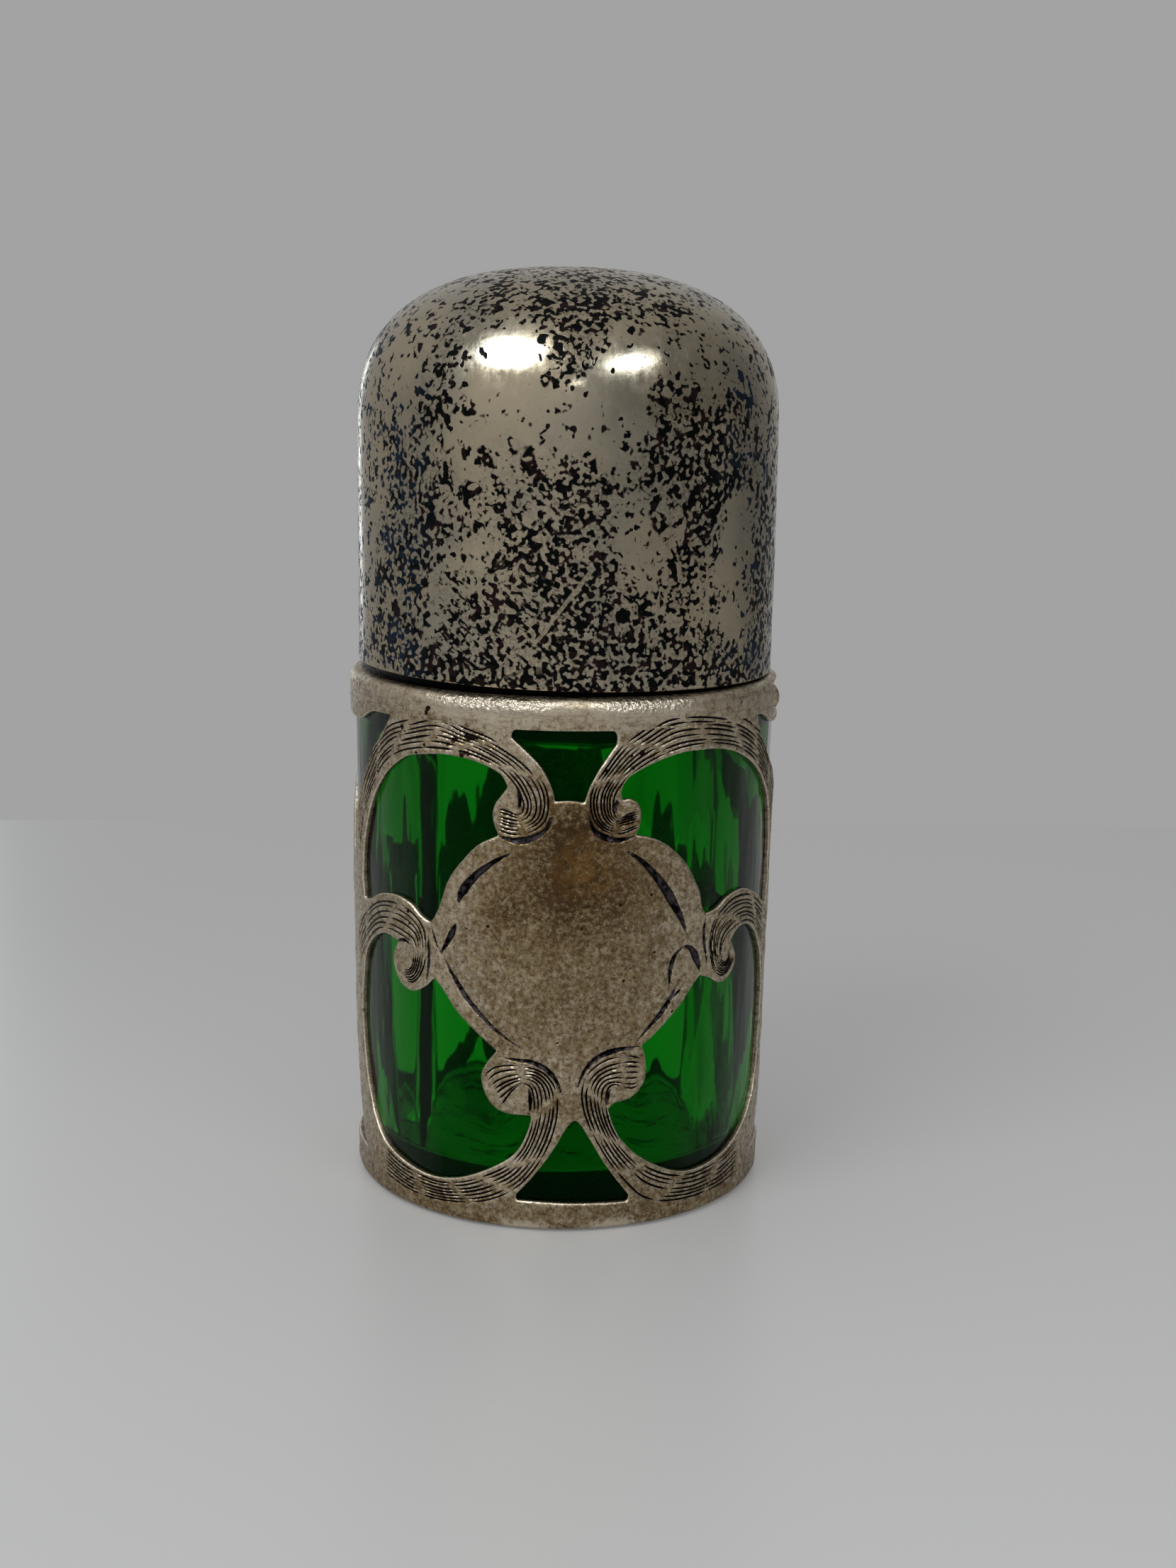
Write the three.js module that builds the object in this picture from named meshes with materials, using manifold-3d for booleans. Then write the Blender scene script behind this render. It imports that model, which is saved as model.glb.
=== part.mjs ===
// Silver overlay scent bottle: a green glass flask in a pierced silver cage, with a domed silver
// cap hinged on the right and a ground glass stopper under it.
// Millimetres, +Z up. The origin is the centre of the flat glass base, the front faces -Y.

import * as THREE from 'three';
import { mergeVertices } from 'three/addons/utils/BufferGeometryUtils.js';
import Module from 'manifold-3d';

// Body: the silver's outside, and the glass behind it
const BODY_TOP_RADIUS = 13.55;
const BODY_TAPER = 0.45;
const OVERLAY_HEIGHT = 30.0;
const OVERLAY_LIFT = 0.1;
const OVERLAY_WALL = 0.5;
const FOOT_ROUNDING = 0.45;
const GLASS_WALL = 2.4;
const BASE_THICKNESS = 2.6;
const BASE_CHAMFER = 0.4;
const CAVITY_CORNER = 1.6;

// Glass shoulder and neck
const SHOULDER_CORNER = 0.5;
const SHOULDER_RISE = 1.6;
const SHOULDER_GLASS = 1.7;
const NECK_RADIUS = 4.9;
const NECK_HEIGHT = 7.1;
const LIP_OVERHANG = 1.0;
const LIP_THICKNESS = 1.3;
const BORE_MOUTH_RADIUS = 3.3;
const BORE_FOOT_RADIUS = 3.0;

// Collar, bezel and cement between the glass and the cap
const COLLAR_HEIGHT = 2.05;
const COLLAR_PLATE = 0.6;
const BEAD_WIDTH = 1.25;
const BEAD_FOOT_STEP = 0.15;
const BEAD_BELLY = 0.6;
const BEAD_TOP_STEP = 0.7;
const BEZEL_HEIGHT = 1.95;
const BEZEL_WALL = 0.5;
const CEMENT_INSET = 2.65;

// Cap
const CAP_STEP = 0.55;
const CAP_SIDE_HEIGHT = 14.95;
const DOME_RISE = 9.4;
const DOME_FULLNESS = 2.5;
const CAP_WALL = 0.6;

// Hinge on the right, its pin along Y
const KNUCKLE_RADIUS = 1.05;
const HINGE_LENGTH = 8.8;
const HINGE_INSET = 0.4;
const KNUCKLE_COUNT = 5;
const KNUCKLE_GAP = 0.15;
const PIN_RADIUS = 0.45;

// Stopper
const PLUG_LENGTH = 6.4;
const STOPPER_WAIST_RADIUS = 2.5;
const STOPPER_FLANGE_RADIUS = 4.3;
const STOPPER_FLANGE = 1.1;
const STOPPER_HEAD_RADIUS = 4.4;
const STOPPER_HEAD_HEIGHT = 6.2;

// Windows in the silver are drawn in degrees across and in steps up from the base to the silver's top
const PATTERN_STEPS = 30.1;

// Clearances
const SKIN_GAP = 0.1;
const SEAT_GAP = 0.2;
const SEAM_GAP = 0.3;
const BEZEL_GAP = 0.35;
const CEMENT_GAP = 0.15;
const NECK_GAP = 0.3;
const HINGE_GAP = 0.15;
const PIN_GAP = 0.05;
const PLUG_GAP = 0.1;

// Fineness of the round forms
const TURN_STEPS = 60;
const SMALL_STEPS = 24;
const DOME_STEPS = 9;
const OUTLINE_STEP = 1.3;
const CORNER_STEPS = 3;

// Heights and radii that follow from the sizes above
const OVERLAY_TOP = OVERLAY_LIFT + OVERLAY_HEIGHT;
const COLLAR_BOTTOM = OVERLAY_TOP + SEAT_GAP;
const COLLAR_TOP = COLLAR_BOTTOM + COLLAR_HEIGHT;
const CAP_RIM = COLLAR_TOP + SEAM_GAP;
const DOME_START = CAP_RIM + CAP_SIDE_HEIGHT;
const NECK_TOP = COLLAR_TOP + NECK_HEIGHT;
const CAP_RADIUS = BODY_TOP_RADIUS - CAP_STEP;
const CAP_BORE = CAP_RADIUS - CAP_WALL;
const BEZEL_RADIUS = CAP_BORE - BEZEL_GAP;
const HINGE_X = BODY_TOP_RADIUS - HINGE_INSET - KNUCKLE_RADIUS;
const HINGE_Z = COLLAR_TOP - KNUCKLE_RADIUS;
const SHOULDER_TOP = COLLAR_BOTTOM - SEAT_GAP - SHOULDER_CORNER + SHOULDER_RISE;

const wasm = await Module();
wasm.setup();

// The silver's outer radius at a height: a straight taper from the top down to the foot.
function bodyRadius(z) {
  return BODY_TOP_RADIUS - BODY_TAPER * (1 - z / OVERLAY_TOP);
}

// The glass's outer radius at a height, just inside the silver.
function glassRadius(z) {
  return bodyRadius(z) - OVERLAY_WALL - SKIN_GAP;
}

// A quarter round from one radius and height to another, as points without the first.
function roundCorner(from, corner, to, steps = CORNER_STEPS) {
  const curve = new THREE.QuadraticBezierCurve(
    new THREE.Vector2(...from),
    new THREE.Vector2(...corner),
    new THREE.Vector2(...to),
  );
  return curve.getPoints(steps).slice(1).map((p) => [p.x, p.y]);
}

// A three.js geometry as a solid that can be cut and joined, turned right side out.
function toSolid(geometry) {
  geometry.deleteAttribute('normal');
  geometry.deleteAttribute('uv');
  const merged = mergeVertices(geometry, 1e-4);
  const vertProperties = new Float32Array(merged.attributes.position.array);
  const triVerts = Uint32Array.from(merged.index.array);
  const turned = new Uint32Array(triVerts.length);
  for (let i = 0; i < triVerts.length; i += 3) {
    turned[i] = triVerts[i];
    turned[i + 1] = triVerts[i + 2];
    turned[i + 2] = triVerts[i + 1];
  }
  const solid = new wasm.Manifold(new wasm.Mesh({ numProp: 3, vertProperties, triVerts }));
  if (solid.volume() > 0) return solid;
  return new wasm.Manifold(new wasm.Mesh({ numProp: 3, vertProperties, triVerts: turned }));
}

// A profile of [radius, height] points turned about the Z axis.
function turnProfile(profile, steps = TURN_STEPS) {
  const points = profile.map(([r, z]) => new THREE.Vector2(r, z));
  const first = points[0];
  if (first.x > 0) points.push(first.clone());
  return toSolid(new THREE.LatheGeometry(points, steps).rotateX(Math.PI / 2));
}

// A rod along Y between two places, on the hinge axis.
function hingeRod(radius, yFrom, yTo) {
  const rod = new THREE.CylinderGeometry(radius, radius, yTo - yFrom, SMALL_STEPS);
  return toSolid(rod.translate(HINGE_X, (yFrom + yTo) / 2, HINGE_Z));
}

// A box between two corners.
function boxBetween(low, high) {
  const size = high.map((value, i) => value - low[i]);
  const centre = high.map((value, i) => (value + low[i]) / 2);
  return toSolid(new THREE.BoxGeometry(...size).translate(...centre));
}

// Windows in the silver. Each outline is a closed loop of [degrees from the panel's middle,
// steps up] with 'corner' where it turns sharply; between corners it is a smooth curve.
const WINDOWS_OF_A_PANEL = {
  neck: [
    [-14.8, 29.7, 'corner'], [11.0, 29.7, 'corner'], [10.2, 29.1], [5.9, 28.1], [3.7, 27.1],
    [2.9, 26.3, 'corner'], [-4.5, 26.4, 'corner'], [-5.5, 27.6], [-8.7, 28.8],
  ],
  upperLeft: [
    [-15.7, 26.9, 'corner'], [-19.5, 27.9], [-27.5, 28.5], [-35.2, 28.5], [-42.5, 28.1], [-51.1, 27.1],
    [-57.5, 25.7], [-62.6, 23.8], [-65.5, 21.6], [-66.6, 19.8], [-66.3, 18.3, 'corner'], [-59.5, 19.0],
    [-50.0, 19.3], [-42.5, 19.0], [-37.3, 18.6, 'corner'], [-34.6, 19.8], [-30.6, 21.5], [-24.5, 23.0],
    [-18.5, 23.9, 'corner'], [-20.1, 25.1], [-18.5, 26.3],
  ],
  upperRight: [
    [12.2, 26.8, 'corner'], [15.0, 27.6], [20.9, 28.2], [29.4, 28.7], [39.2, 28.8], [48.2, 28.4],
    [56.0, 27.6], [63.5, 26.1], [70.5, 23.9], [76.5, 21.1], [78.5, 18.9, 'corner'], [66.3, 19.4],
    [53.1, 19.6], [46.2, 19.2], [38.2, 18.8, 'corner'], [35.7, 20.6], [30.5, 22.5], [24.7, 23.6],
    [18.4, 23.9, 'corner'], [18.1, 25.2], [16.1, 26.2],
  ],
  lowerLeft: [
    [-49.8, 16.4, 'corner'], [-51.9, 15.0], [-48.6, 13.9], [-43.3, 13.7], [-37.4, 14.8, 'corner'],
    [-33.3, 13.1], [-27.7, 12.1], [-18.8, 10.8, 'corner'], [-22.3, 9.9], [-22.9, 9.0], [-21.0, 7.9],
    [-16.6, 7.2], [-9.7, 7.1, 'corner'], [-9.8, 5.9], [-13.6, 4.6], [-18.9, 3.6], [-25.6, 2.7],
    [-33.6, 2.3], [-42.0, 2.4], [-50.2, 3.0], [-57.5, 4.1], [-64.0, 6.0], [-68.4, 9.0], [-71.0, 12.0],
    [-71.2, 14.3], [-66.6, 16.0], [-57.6, 16.6],
  ],
  lowerRight: [
    [37.1, 15.0, 'corner'], [41.4, 14.5], [46.1, 14.2], [51.0, 14.7], [52.2, 16.0], [52.5, 17.1, 'corner'],
    [58.6, 17.4], [67.0, 17.0], [72.8, 15.4], [74.6, 12.9], [73.3, 9.2], [69.6, 6.4], [63.0, 4.6],
    [54.0, 3.5], [44.5, 3.0], [34.4, 2.9], [25.8, 3.2], [19.3, 4.0], [13.8, 5.3], [11.0, 6.6],
    [11.3, 7.7, 'corner'], [17.4, 8.4], [20.6, 9.4], [20.1, 11.3, 'corner'], [25.5, 12.0], [31.2, 13.0],
  ],
  foot: [
    [1.5, 6.7], [-0.9, 6.2], [-4.2, 4.9], [-9.1, 3.3], [-13.4, 1.6, 'corner'], [17.4, 1.6, 'corner'],
    [12.8, 3.1], [7.6, 5.1], [3.9, 6.4],
  ],
  sideTop: [
    [59.5, 29.7, 'corner'], [127.5, 29.7, 'corner'], [122.0, 28.3], [116.5, 27.2], [112.0, 25.9],
    [107.5, 23.8], [103.5, 21.5], [99.0, 19.4], [94.5, 19.2], [91.0, 21.0], [86.5, 23.2], [81.0, 25.1],
    [75.5, 26.3], [70.9, 27.1], [66.0, 28.3],
  ],
  sideFoot: [
    [66.5, 1.8, 'corner'], [109.5, 1.8, 'corner'], [105.5, 3.6], [101.0, 5.9], [96.5, 8.2], [92.5, 9.8],
    [89.5, 9.8], [84.5, 7.6], [79.0, 5.2], [73.0, 3.2],
  ],
};
const PANEL_TURNS = [0, 180];

// The loop of [degrees, height] along an outline, with one spline from each corner to the next.
function outlineLoop(outline) {
  const arc = THREE.MathUtils.degToRad(BODY_TOP_RADIUS);
  const stepHeight = OVERLAY_TOP / PATTERN_STEPS;
  const isCorner = (point) => point[2] === 'corner';
  const start = outline.findIndex(isCorner);
  const points = [...outline.slice(start), ...outline.slice(0, start + 1)];
  const corners = points.map((point, i) => (isCorner(point) ? i : -1)).filter((i) => i >= 0);
  const loop = [];
  for (let k = 0; k + 1 < corners.length; k += 1) {
    const between = points.slice(corners[k], corners[k + 1] + 1);
    const places = between.map(([degrees, up]) => new THREE.Vector2(degrees * arc, up * stepHeight));
    const curve = new THREE.SplineCurve(places);
    const steps = between.length === 2 ? 1 : Math.round(curve.getLength() / OUTLINE_STEP);
    loop.push(...curve.getSpacedPoints(steps).slice(0, -1));
  }
  return loop.map((p) => [p.x / arc, p.y]);
}

// A wedge that runs outward from near the axis through the silver, over one window's outline.
function windowCutter(outline, turn) {
  const loop = outlineLoop(outline);
  const flat = loop.map(([degrees, z]) => new THREE.Vector2(degrees, z));
  const faces = THREE.ShapeUtils.triangulateShape(flat, []);
  const count = loop.length;
  const positions = [];
  for (const radius of [BODY_TOP_RADIUS / 2, BODY_TOP_RADIUS * 1.5]) {
    for (const [degrees, z] of loop) {
      const angle = THREE.MathUtils.degToRad(degrees + turn);
      positions.push(radius * Math.sin(angle), -radius * Math.cos(angle), z);
    }
  }
  const index = [];
  for (const [a, b, c] of faces) {
    index.push(a, c, b, a + count, b + count, c + count);
  }
  const clockwise = THREE.ShapeUtils.isClockWise(flat);
  for (let i = 0; i < count; i += 1) {
    const next = (i + 1) % count;
    const quad = [i, next, next + count, i, next + count, i + count];
    index.push(...(clockwise ? quad.reverse() : quad));
  }
  const geometry = new THREE.BufferGeometry();
  geometry.setAttribute('position', new THREE.Float32BufferAttribute(positions, 3));
  geometry.setIndex(index);
  return toSolid(geometry);
}

// Green glass: flat base, straight tapered side, low shoulder, neck with a lip, tapered bore, cavity.
function glassBottle() {
  const footRadius = glassRadius(0);
  const shoulder = SHOULDER_TOP - SHOULDER_RISE;
  const shoulderRadius = glassRadius(shoulder);
  const cavityTop = shoulder - SHOULDER_GLASS;
  const cavityRadius = glassRadius(BASE_THICKNESS) - GLASS_WALL;
  const cavityTopRadius = glassRadius(cavityTop) - GLASS_WALL;
  const boreFoot = SHOULDER_TOP - SHOULDER_GLASS / 2;
  return turnProfile([
    [0, 0],
    [footRadius - BASE_CHAMFER, 0],
    [footRadius, BASE_CHAMFER],
    [shoulderRadius, shoulder],
    ...roundCorner(
      [shoulderRadius, shoulder],
      [shoulderRadius, shoulder + SHOULDER_CORNER],
      [shoulderRadius - SHOULDER_CORNER, shoulder + SHOULDER_CORNER],
    ),
    ...roundCorner(
      [shoulderRadius - SHOULDER_CORNER, shoulder + SHOULDER_CORNER],
      [NECK_RADIUS + SHOULDER_RISE, shoulder + SHOULDER_CORNER],
      [NECK_RADIUS, SHOULDER_TOP],
      CORNER_STEPS + 2,
    ),
    [NECK_RADIUS, NECK_TOP - LIP_THICKNESS - LIP_OVERHANG],
    [NECK_RADIUS + LIP_OVERHANG, NECK_TOP - LIP_THICKNESS],
    [NECK_RADIUS + LIP_OVERHANG, NECK_TOP],
    [BORE_MOUTH_RADIUS, NECK_TOP],
    [BORE_FOOT_RADIUS, boreFoot],
    ...roundCorner(
      [BORE_FOOT_RADIUS, boreFoot],
      [BORE_FOOT_RADIUS, cavityTop + SHOULDER_CORNER],
      [cavityTopRadius - CAVITY_CORNER, cavityTop],
    ),
    ...roundCorner(
      [cavityTopRadius - CAVITY_CORNER, cavityTop],
      [cavityTopRadius, cavityTop],
      [cavityTopRadius, cavityTop - CAVITY_CORNER],
    ),
    [cavityRadius, BASE_THICKNESS + CAVITY_CORNER],
    ...roundCorner(
      [cavityRadius, BASE_THICKNESS + CAVITY_CORNER],
      [cavityRadius, BASE_THICKNESS],
      [cavityRadius - CAVITY_CORNER, BASE_THICKNESS],
    ),
    [0, BASE_THICKNESS],
  ]);
}

// Silver cage over the glass, pierced by the windows of a front and a back panel.
function silverOverlay() {
  const foot = OVERLAY_LIFT;
  const inside = (z) => bodyRadius(z) - OVERLAY_WALL;
  let cage = turnProfile([
    [inside(foot), foot],
    [bodyRadius(foot) - FOOT_ROUNDING / 2, foot],
    [bodyRadius(foot) - FOOT_ROUNDING / 6, foot + FOOT_ROUNDING / 3],
    [bodyRadius(foot + FOOT_ROUNDING), foot + FOOT_ROUNDING],
    [bodyRadius(OVERLAY_TOP), OVERLAY_TOP],
    [inside(OVERLAY_TOP), OVERLAY_TOP],
  ]);
  for (const turn of PANEL_TURNS) {
    for (const outline of Object.values(WINDOWS_OF_A_PANEL)) {
      cage = cage.subtract(windowCutter(outline, turn));
    }
  }
  return cage;
}

// The room that the hinge needs in the collar and bezel: the barrel's trough, open upward and outward.
function hingeTrough() {
  const radius = KNUCKLE_RADIUS + HINGE_GAP;
  const half = HINGE_LENGTH / 2 + HINGE_GAP;
  const clear = BODY_TOP_RADIUS * 1.5;
  return hingeRod(radius, -half, half)
    .add(boxBetween([HINGE_X - radius / 2, -half, HINGE_Z], [clear, half, CAP_RIM + SEAM_GAP]))
    .add(boxBetween([HINGE_X, -half, COLLAR_BOTTOM - SEAM_GAP], [clear, half, HINGE_Z]));
}

// Collar: a rounded bead at the edge and a flat plate in to the neck, cut away at the hinge.
function collarRing() {
  const outer = BODY_TOP_RADIUS;
  const topEdge = outer - BEAD_TOP_STEP;
  const belly = COLLAR_BOTTOM + BEAD_BELLY;
  const inner = outer - BEAD_WIDTH;
  const plateBottom = COLLAR_TOP - COLLAR_PLATE;
  return turnProfile([
    [inner, COLLAR_BOTTOM],
    [outer - BEAD_FOOT_STEP, COLLAR_BOTTOM],
    [outer, belly - BEAD_BELLY / 2],
    [outer, belly],
    ...roundCorner([outer, belly], [outer, COLLAR_TOP], [topEdge, COLLAR_TOP], CORNER_STEPS + 1),
    [NECK_RADIUS + NECK_GAP, COLLAR_TOP],
    [NECK_RADIUS + NECK_GAP, plateBottom],
    [inner, plateBottom],
  ]).subtract(hingeTrough());
}

// Bezel: the thin upright ring on the collar that the cap closes over.
function bezelRing() {
  const inner = BEZEL_RADIUS - BEZEL_WALL;
  return turnProfile([
    [inner, COLLAR_TOP],
    [BEZEL_RADIUS, COLLAR_TOP],
    [BEZEL_RADIUS, COLLAR_TOP + BEZEL_HEIGHT],
    [inner, COLLAR_TOP + BEZEL_HEIGHT],
  ]).subtract(hingeTrough());
}

// Cement ring that beds the collar's plate on the glass shoulder.
function mountCement() {
  const shoulder = SHOULDER_TOP - SHOULDER_RISE + SHOULDER_CORNER + CEMENT_GAP;
  const outer = BODY_TOP_RADIUS - CEMENT_INSET;
  const inner = NECK_RADIUS + SHOULDER_RISE;
  const top = COLLAR_TOP - COLLAR_PLATE - CEMENT_GAP;
  return turnProfile([
    [inner, SHOULDER_TOP - SHOULDER_RISE / 4],
    [inner + SHOULDER_RISE, shoulder + SHOULDER_RISE / 5],
    [outer, shoulder + CEMENT_GAP],
    [outer, top],
    [inner, top],
  ]);
}

// Cap: straight side and a full dome, open at the rim.
function capShell() {
  const dome = (radius, rise) => Array.from({ length: DOME_STEPS }, (_, i) => {
    const t = (Math.PI / 2) * ((i + 1) / DOME_STEPS);
    return [
      radius * Math.cos(t) ** (2 / DOME_FULLNESS),
      DOME_START + rise * Math.sin(t) ** (2 / DOME_FULLNESS),
    ];
  });
  const outside = dome(CAP_RADIUS, DOME_RISE);
  const inside = dome(CAP_BORE, DOME_RISE - CAP_WALL).reverse();
  outside[DOME_STEPS - 1][0] = 0;
  inside[0][0] = 0;
  const side = [[CAP_BORE, DOME_START], [CAP_BORE, CAP_RIM], [CAP_RADIUS, CAP_RIM], [CAP_RADIUS, DOME_START]];
  return turnProfile([...inside, ...side, ...outside]);
}

// The places along Y where a knuckle of the hinge starts and ends.
function knuckleSpan(i) {
  const length = (HINGE_LENGTH - KNUCKLE_GAP * (KNUCKLE_COUNT - 1)) / KNUCKLE_COUNT;
  const start = -HINGE_LENGTH / 2 + i * (length + KNUCKLE_GAP);
  return [start, start + length];
}

// One knuckle, a short tube round the pin. A cap knuckle also reaches up to the cap's rim.
function knuckle(i, onCap) {
  const [from, to] = knuckleSpan(i);
  let tube = hingeRod(KNUCKLE_RADIUS, from, to);
  if (onCap) {
    const skirt = turnProfile([
      [CAP_BORE, HINGE_Z],
      [CAP_RADIUS, HINGE_Z],
      [CAP_RADIUS, CAP_RIM],
      [CAP_BORE, CAP_RIM],
    ]);
    tube = tube.add(skirt.intersect(boxBetween([0, from, HINGE_Z], [BODY_TOP_RADIUS, to, CAP_RIM])));
  }
  return tube.subtract(hingeRod(PIN_RADIUS + PIN_GAP, from - KNUCKLE_GAP, to + KNUCKLE_GAP));
}

// Stopper: a tapered ground plug, a flange that rests above the lip, a waist and a rounded head.
function glassStopper() {
  const seat = NECK_TOP + PLUG_GAP;
  const plugFoot = NECK_TOP - PLUG_LENGTH;
  const taper = (BORE_MOUTH_RADIUS - BORE_FOOT_RADIUS) / (NECK_TOP - SHOULDER_TOP + SHOULDER_GLASS / 2);
  const plugTopRadius = BORE_MOUTH_RADIUS - PLUG_GAP;
  const headBottom = seat + STOPPER_FLANGE + STOPPER_FLANGE / 2;
  const headTop = seat + STOPPER_FLANGE + STOPPER_HEAD_HEIGHT;
  const headMiddle = (headBottom + headTop) / 2;
  return turnProfile([
    [0, plugFoot],
    [plugTopRadius - taper * PLUG_LENGTH, plugFoot],
    [plugTopRadius, seat],
    [STOPPER_FLANGE_RADIUS, seat],
    [STOPPER_FLANGE_RADIUS, seat + STOPPER_FLANGE / 2],
    [STOPPER_WAIST_RADIUS, seat + STOPPER_FLANGE],
    [STOPPER_WAIST_RADIUS, headBottom],
    ...roundCorner(
      [STOPPER_WAIST_RADIUS, headBottom],
      [STOPPER_HEAD_RADIUS, headBottom],
      [STOPPER_HEAD_RADIUS, headMiddle],
    ),
    ...roundCorner(
      [STOPPER_HEAD_RADIUS, headMiddle],
      [STOPPER_HEAD_RADIUS, headTop],
      [0, headTop],
      CORNER_STEPS + 2,
    ),
  ], SMALL_STEPS * 2);
}

// Materials
const GREEN_GLASS = { color: 0x0b6b24, roughness: 0.05, metalness: 0, transparent: true, opacity: 0.55 };
const WORN_SILVER = { color: 0x9a8d7c, roughness: 0.4, metalness: 1 };
const TARNISHED_SILVER = { color: 0x9b968a, roughness: 0.35, metalness: 1 };
const CEMENT = { color: 0xcfc6b2, roughness: 0.9, metalness: 0 };

const bottle = new THREE.Group();

// Adds one solid to the group as a named mesh.
function addPiece(name, solid, look) {
  const { vertProperties, triVerts } = solid.getMesh();
  const geometry = new THREE.BufferGeometry();
  geometry.setAttribute('position', new THREE.Float32BufferAttribute(vertProperties, 3));
  geometry.setIndex([...triVerts]);
  geometry.computeVertexNormals();
  const mesh = new THREE.Mesh(geometry, new THREE.MeshStandardMaterial(look));
  mesh.name = name;
  bottle.add(mesh);
}

addPiece('glass_bottle', glassBottle(), GREEN_GLASS);
addPiece('silver_overlay', silverOverlay(), WORN_SILVER);
addPiece('mount_cement', mountCement(), CEMENT);
addPiece('collar_ring', collarRing(), WORN_SILVER);
addPiece('bezel_ring', bezelRing(), WORN_SILVER);
addPiece('cap_shell', capShell(), TARNISHED_SILVER);
addPiece('glass_stopper', glassStopper(), GREEN_GLASS);
addPiece('hinge_pin', hingeRod(PIN_RADIUS, -HINGE_LENGTH / 2, HINGE_LENGTH / 2), WORN_SILVER);
for (let i = 0; i < KNUCKLE_COUNT; i += 1) {
  const onCap = i % 2 === 1;
  addPiece(`${onCap ? 'cap' : 'collar'}_knuckle_${i + 1}`, knuckle(i, onCap), WORN_SILVER);
}

export default bottle;
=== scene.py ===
# %% [markdown]
# # A pocket scent bottle in green glass and silver
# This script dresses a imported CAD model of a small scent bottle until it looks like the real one: a green
# glass flask inside a pierced and engraved silver sheet, under a domed silver cap that turns on a hinge.
# Every shape is a function worked out with numpy on a grid. The CAD model gives the places and the joints.

# %% Load the frame
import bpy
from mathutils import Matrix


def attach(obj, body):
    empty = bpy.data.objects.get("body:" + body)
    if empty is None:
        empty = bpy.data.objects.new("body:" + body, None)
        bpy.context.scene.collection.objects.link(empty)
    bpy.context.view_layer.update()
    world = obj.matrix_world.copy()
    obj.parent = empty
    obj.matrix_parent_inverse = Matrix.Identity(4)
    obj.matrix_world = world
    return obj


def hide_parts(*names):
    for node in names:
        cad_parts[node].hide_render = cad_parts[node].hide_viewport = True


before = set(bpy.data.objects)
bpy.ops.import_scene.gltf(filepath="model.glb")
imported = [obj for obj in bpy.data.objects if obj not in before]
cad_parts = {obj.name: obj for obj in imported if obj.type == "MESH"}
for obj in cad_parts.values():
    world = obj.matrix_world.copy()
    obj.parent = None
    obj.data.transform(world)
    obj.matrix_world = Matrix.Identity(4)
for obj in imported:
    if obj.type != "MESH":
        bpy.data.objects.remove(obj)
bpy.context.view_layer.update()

import math
from functools import partialmethod

import bpy
import numpy as np
from mathutils import Matrix, Vector

MM = 0.001
dice = np.random.default_rng(57)

# %% [markdown]
# ## The sizes
# The lengths are the same named values as in the CAD source, in millimetres. They could be measured from
# the loaded nodes, but a named value says what it stands for. Angles round the bottle start at the front,
# where the cartouche is, and grow towards the hinge on the right.

# %% Sizes in millimetres
BODY_TOP_RADIUS = 13.55
BODY_TAPER = 0.45  # how much smaller the radius is at the foot
SILVER_FOOT = 0.1
SILVER_TOP = 30.1
SHEET_WALL = 0.38  # thinner than in the CAD: the glass fills the rest, as it looks on the real one
BEAD_FOOT, BEAD_TOP = 30.5, 32.57
CAP_RIM = 32.65
CAP_RADIUS = 13.0
CAP_WALL = 0.6
DOME_START = 47.6
DOME_RISE = 9.4
DOME_FULLNESS = 2.5
NECK_RADIUS = 4.9
NECK_TOP = 39.45
HINGE_X = 12.1
HINGE_Z = 31.3
KNUCKLE_RADIUS = 1.05
HINGE_LENGTH = 8.8
KNUCKLE_COUNT = 5
KNUCKLE_GAP = 0.15
PIN_RADIUS = 0.45
INSET = 0.035  # room for dents and hammer marks inside the CAD model's outline
ARC_MM = math.radians(1) * 13.4  # one degree along the silver's surface
CIRCUMFERENCE = 360 * ARC_MM


def body_radius(z):
    """The silver's outer radius at a height: a straight taper from the top down to the foot."""
    return BODY_TOP_RADIUS - BODY_TAPER * (1 - z / SILVER_TOP)


print("mm across at the body's top and foot:", [round(2 * body_radius(z), 2) for z in (SILVER_TOP, 0)])

# %% [markdown]
# ## Helpers for meshes
# A mesh here is an array of points and an array of faces. Most pieces are turned forms, like work on a
# lathe. A Screw modifier could turn a profile too, but with arrays each ring can be bent a little, so that
# a form is as uneven as a handmade one, and values for the colours can be stored at its points.

# %% Pieces
def add_piece(name, points, faces, body, slot, material, replaced, fields=None, face_fields=None, sharp=40):
    """Makes a mesh object from points in millimetres and faces, parents it to its body and hides the CAD
    parts it replaces. Fields are numbers stored at the points or faces. Edges sharper than the given degrees
    are drawn sharp."""
    mesh = bpy.data.meshes.new(name)
    mesh.from_pydata(np.asarray(points, float) * MM, [], faces, shade_flat=False)
    for domain, stored in (("POINT", fields or {}), ("FACE", face_fields or {})):
        for field, values in stored.items():
            attribute = mesh.attributes.new(field, "FLOAT", domain)
            attribute.data.foreach_set("value", np.asarray(values, np.float32))
    mesh.update()
    mesh.set_sharp_from_angle(angle=math.radians(sharp))
    mesh.materials.append(material)
    piece = bpy.data.objects.new(name, mesh)
    bpy.context.scene.collection.objects.link(piece)
    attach(piece, body)
    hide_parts(*replaced)
    print(name, len(mesh.vertices), "points,", sum(len(face) - 2 for face in faces), "triangles")


# %% [markdown]
# A turned form is a profile of radius and height points carried round the axis. Each point becomes a ring,
# and neighbouring rings are joined by four-sided faces. A point on the axis becomes a pole, joined by
# triangles, so the form is closed there.

# %% Turned forms
ROUND_STEPS = 192


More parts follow.
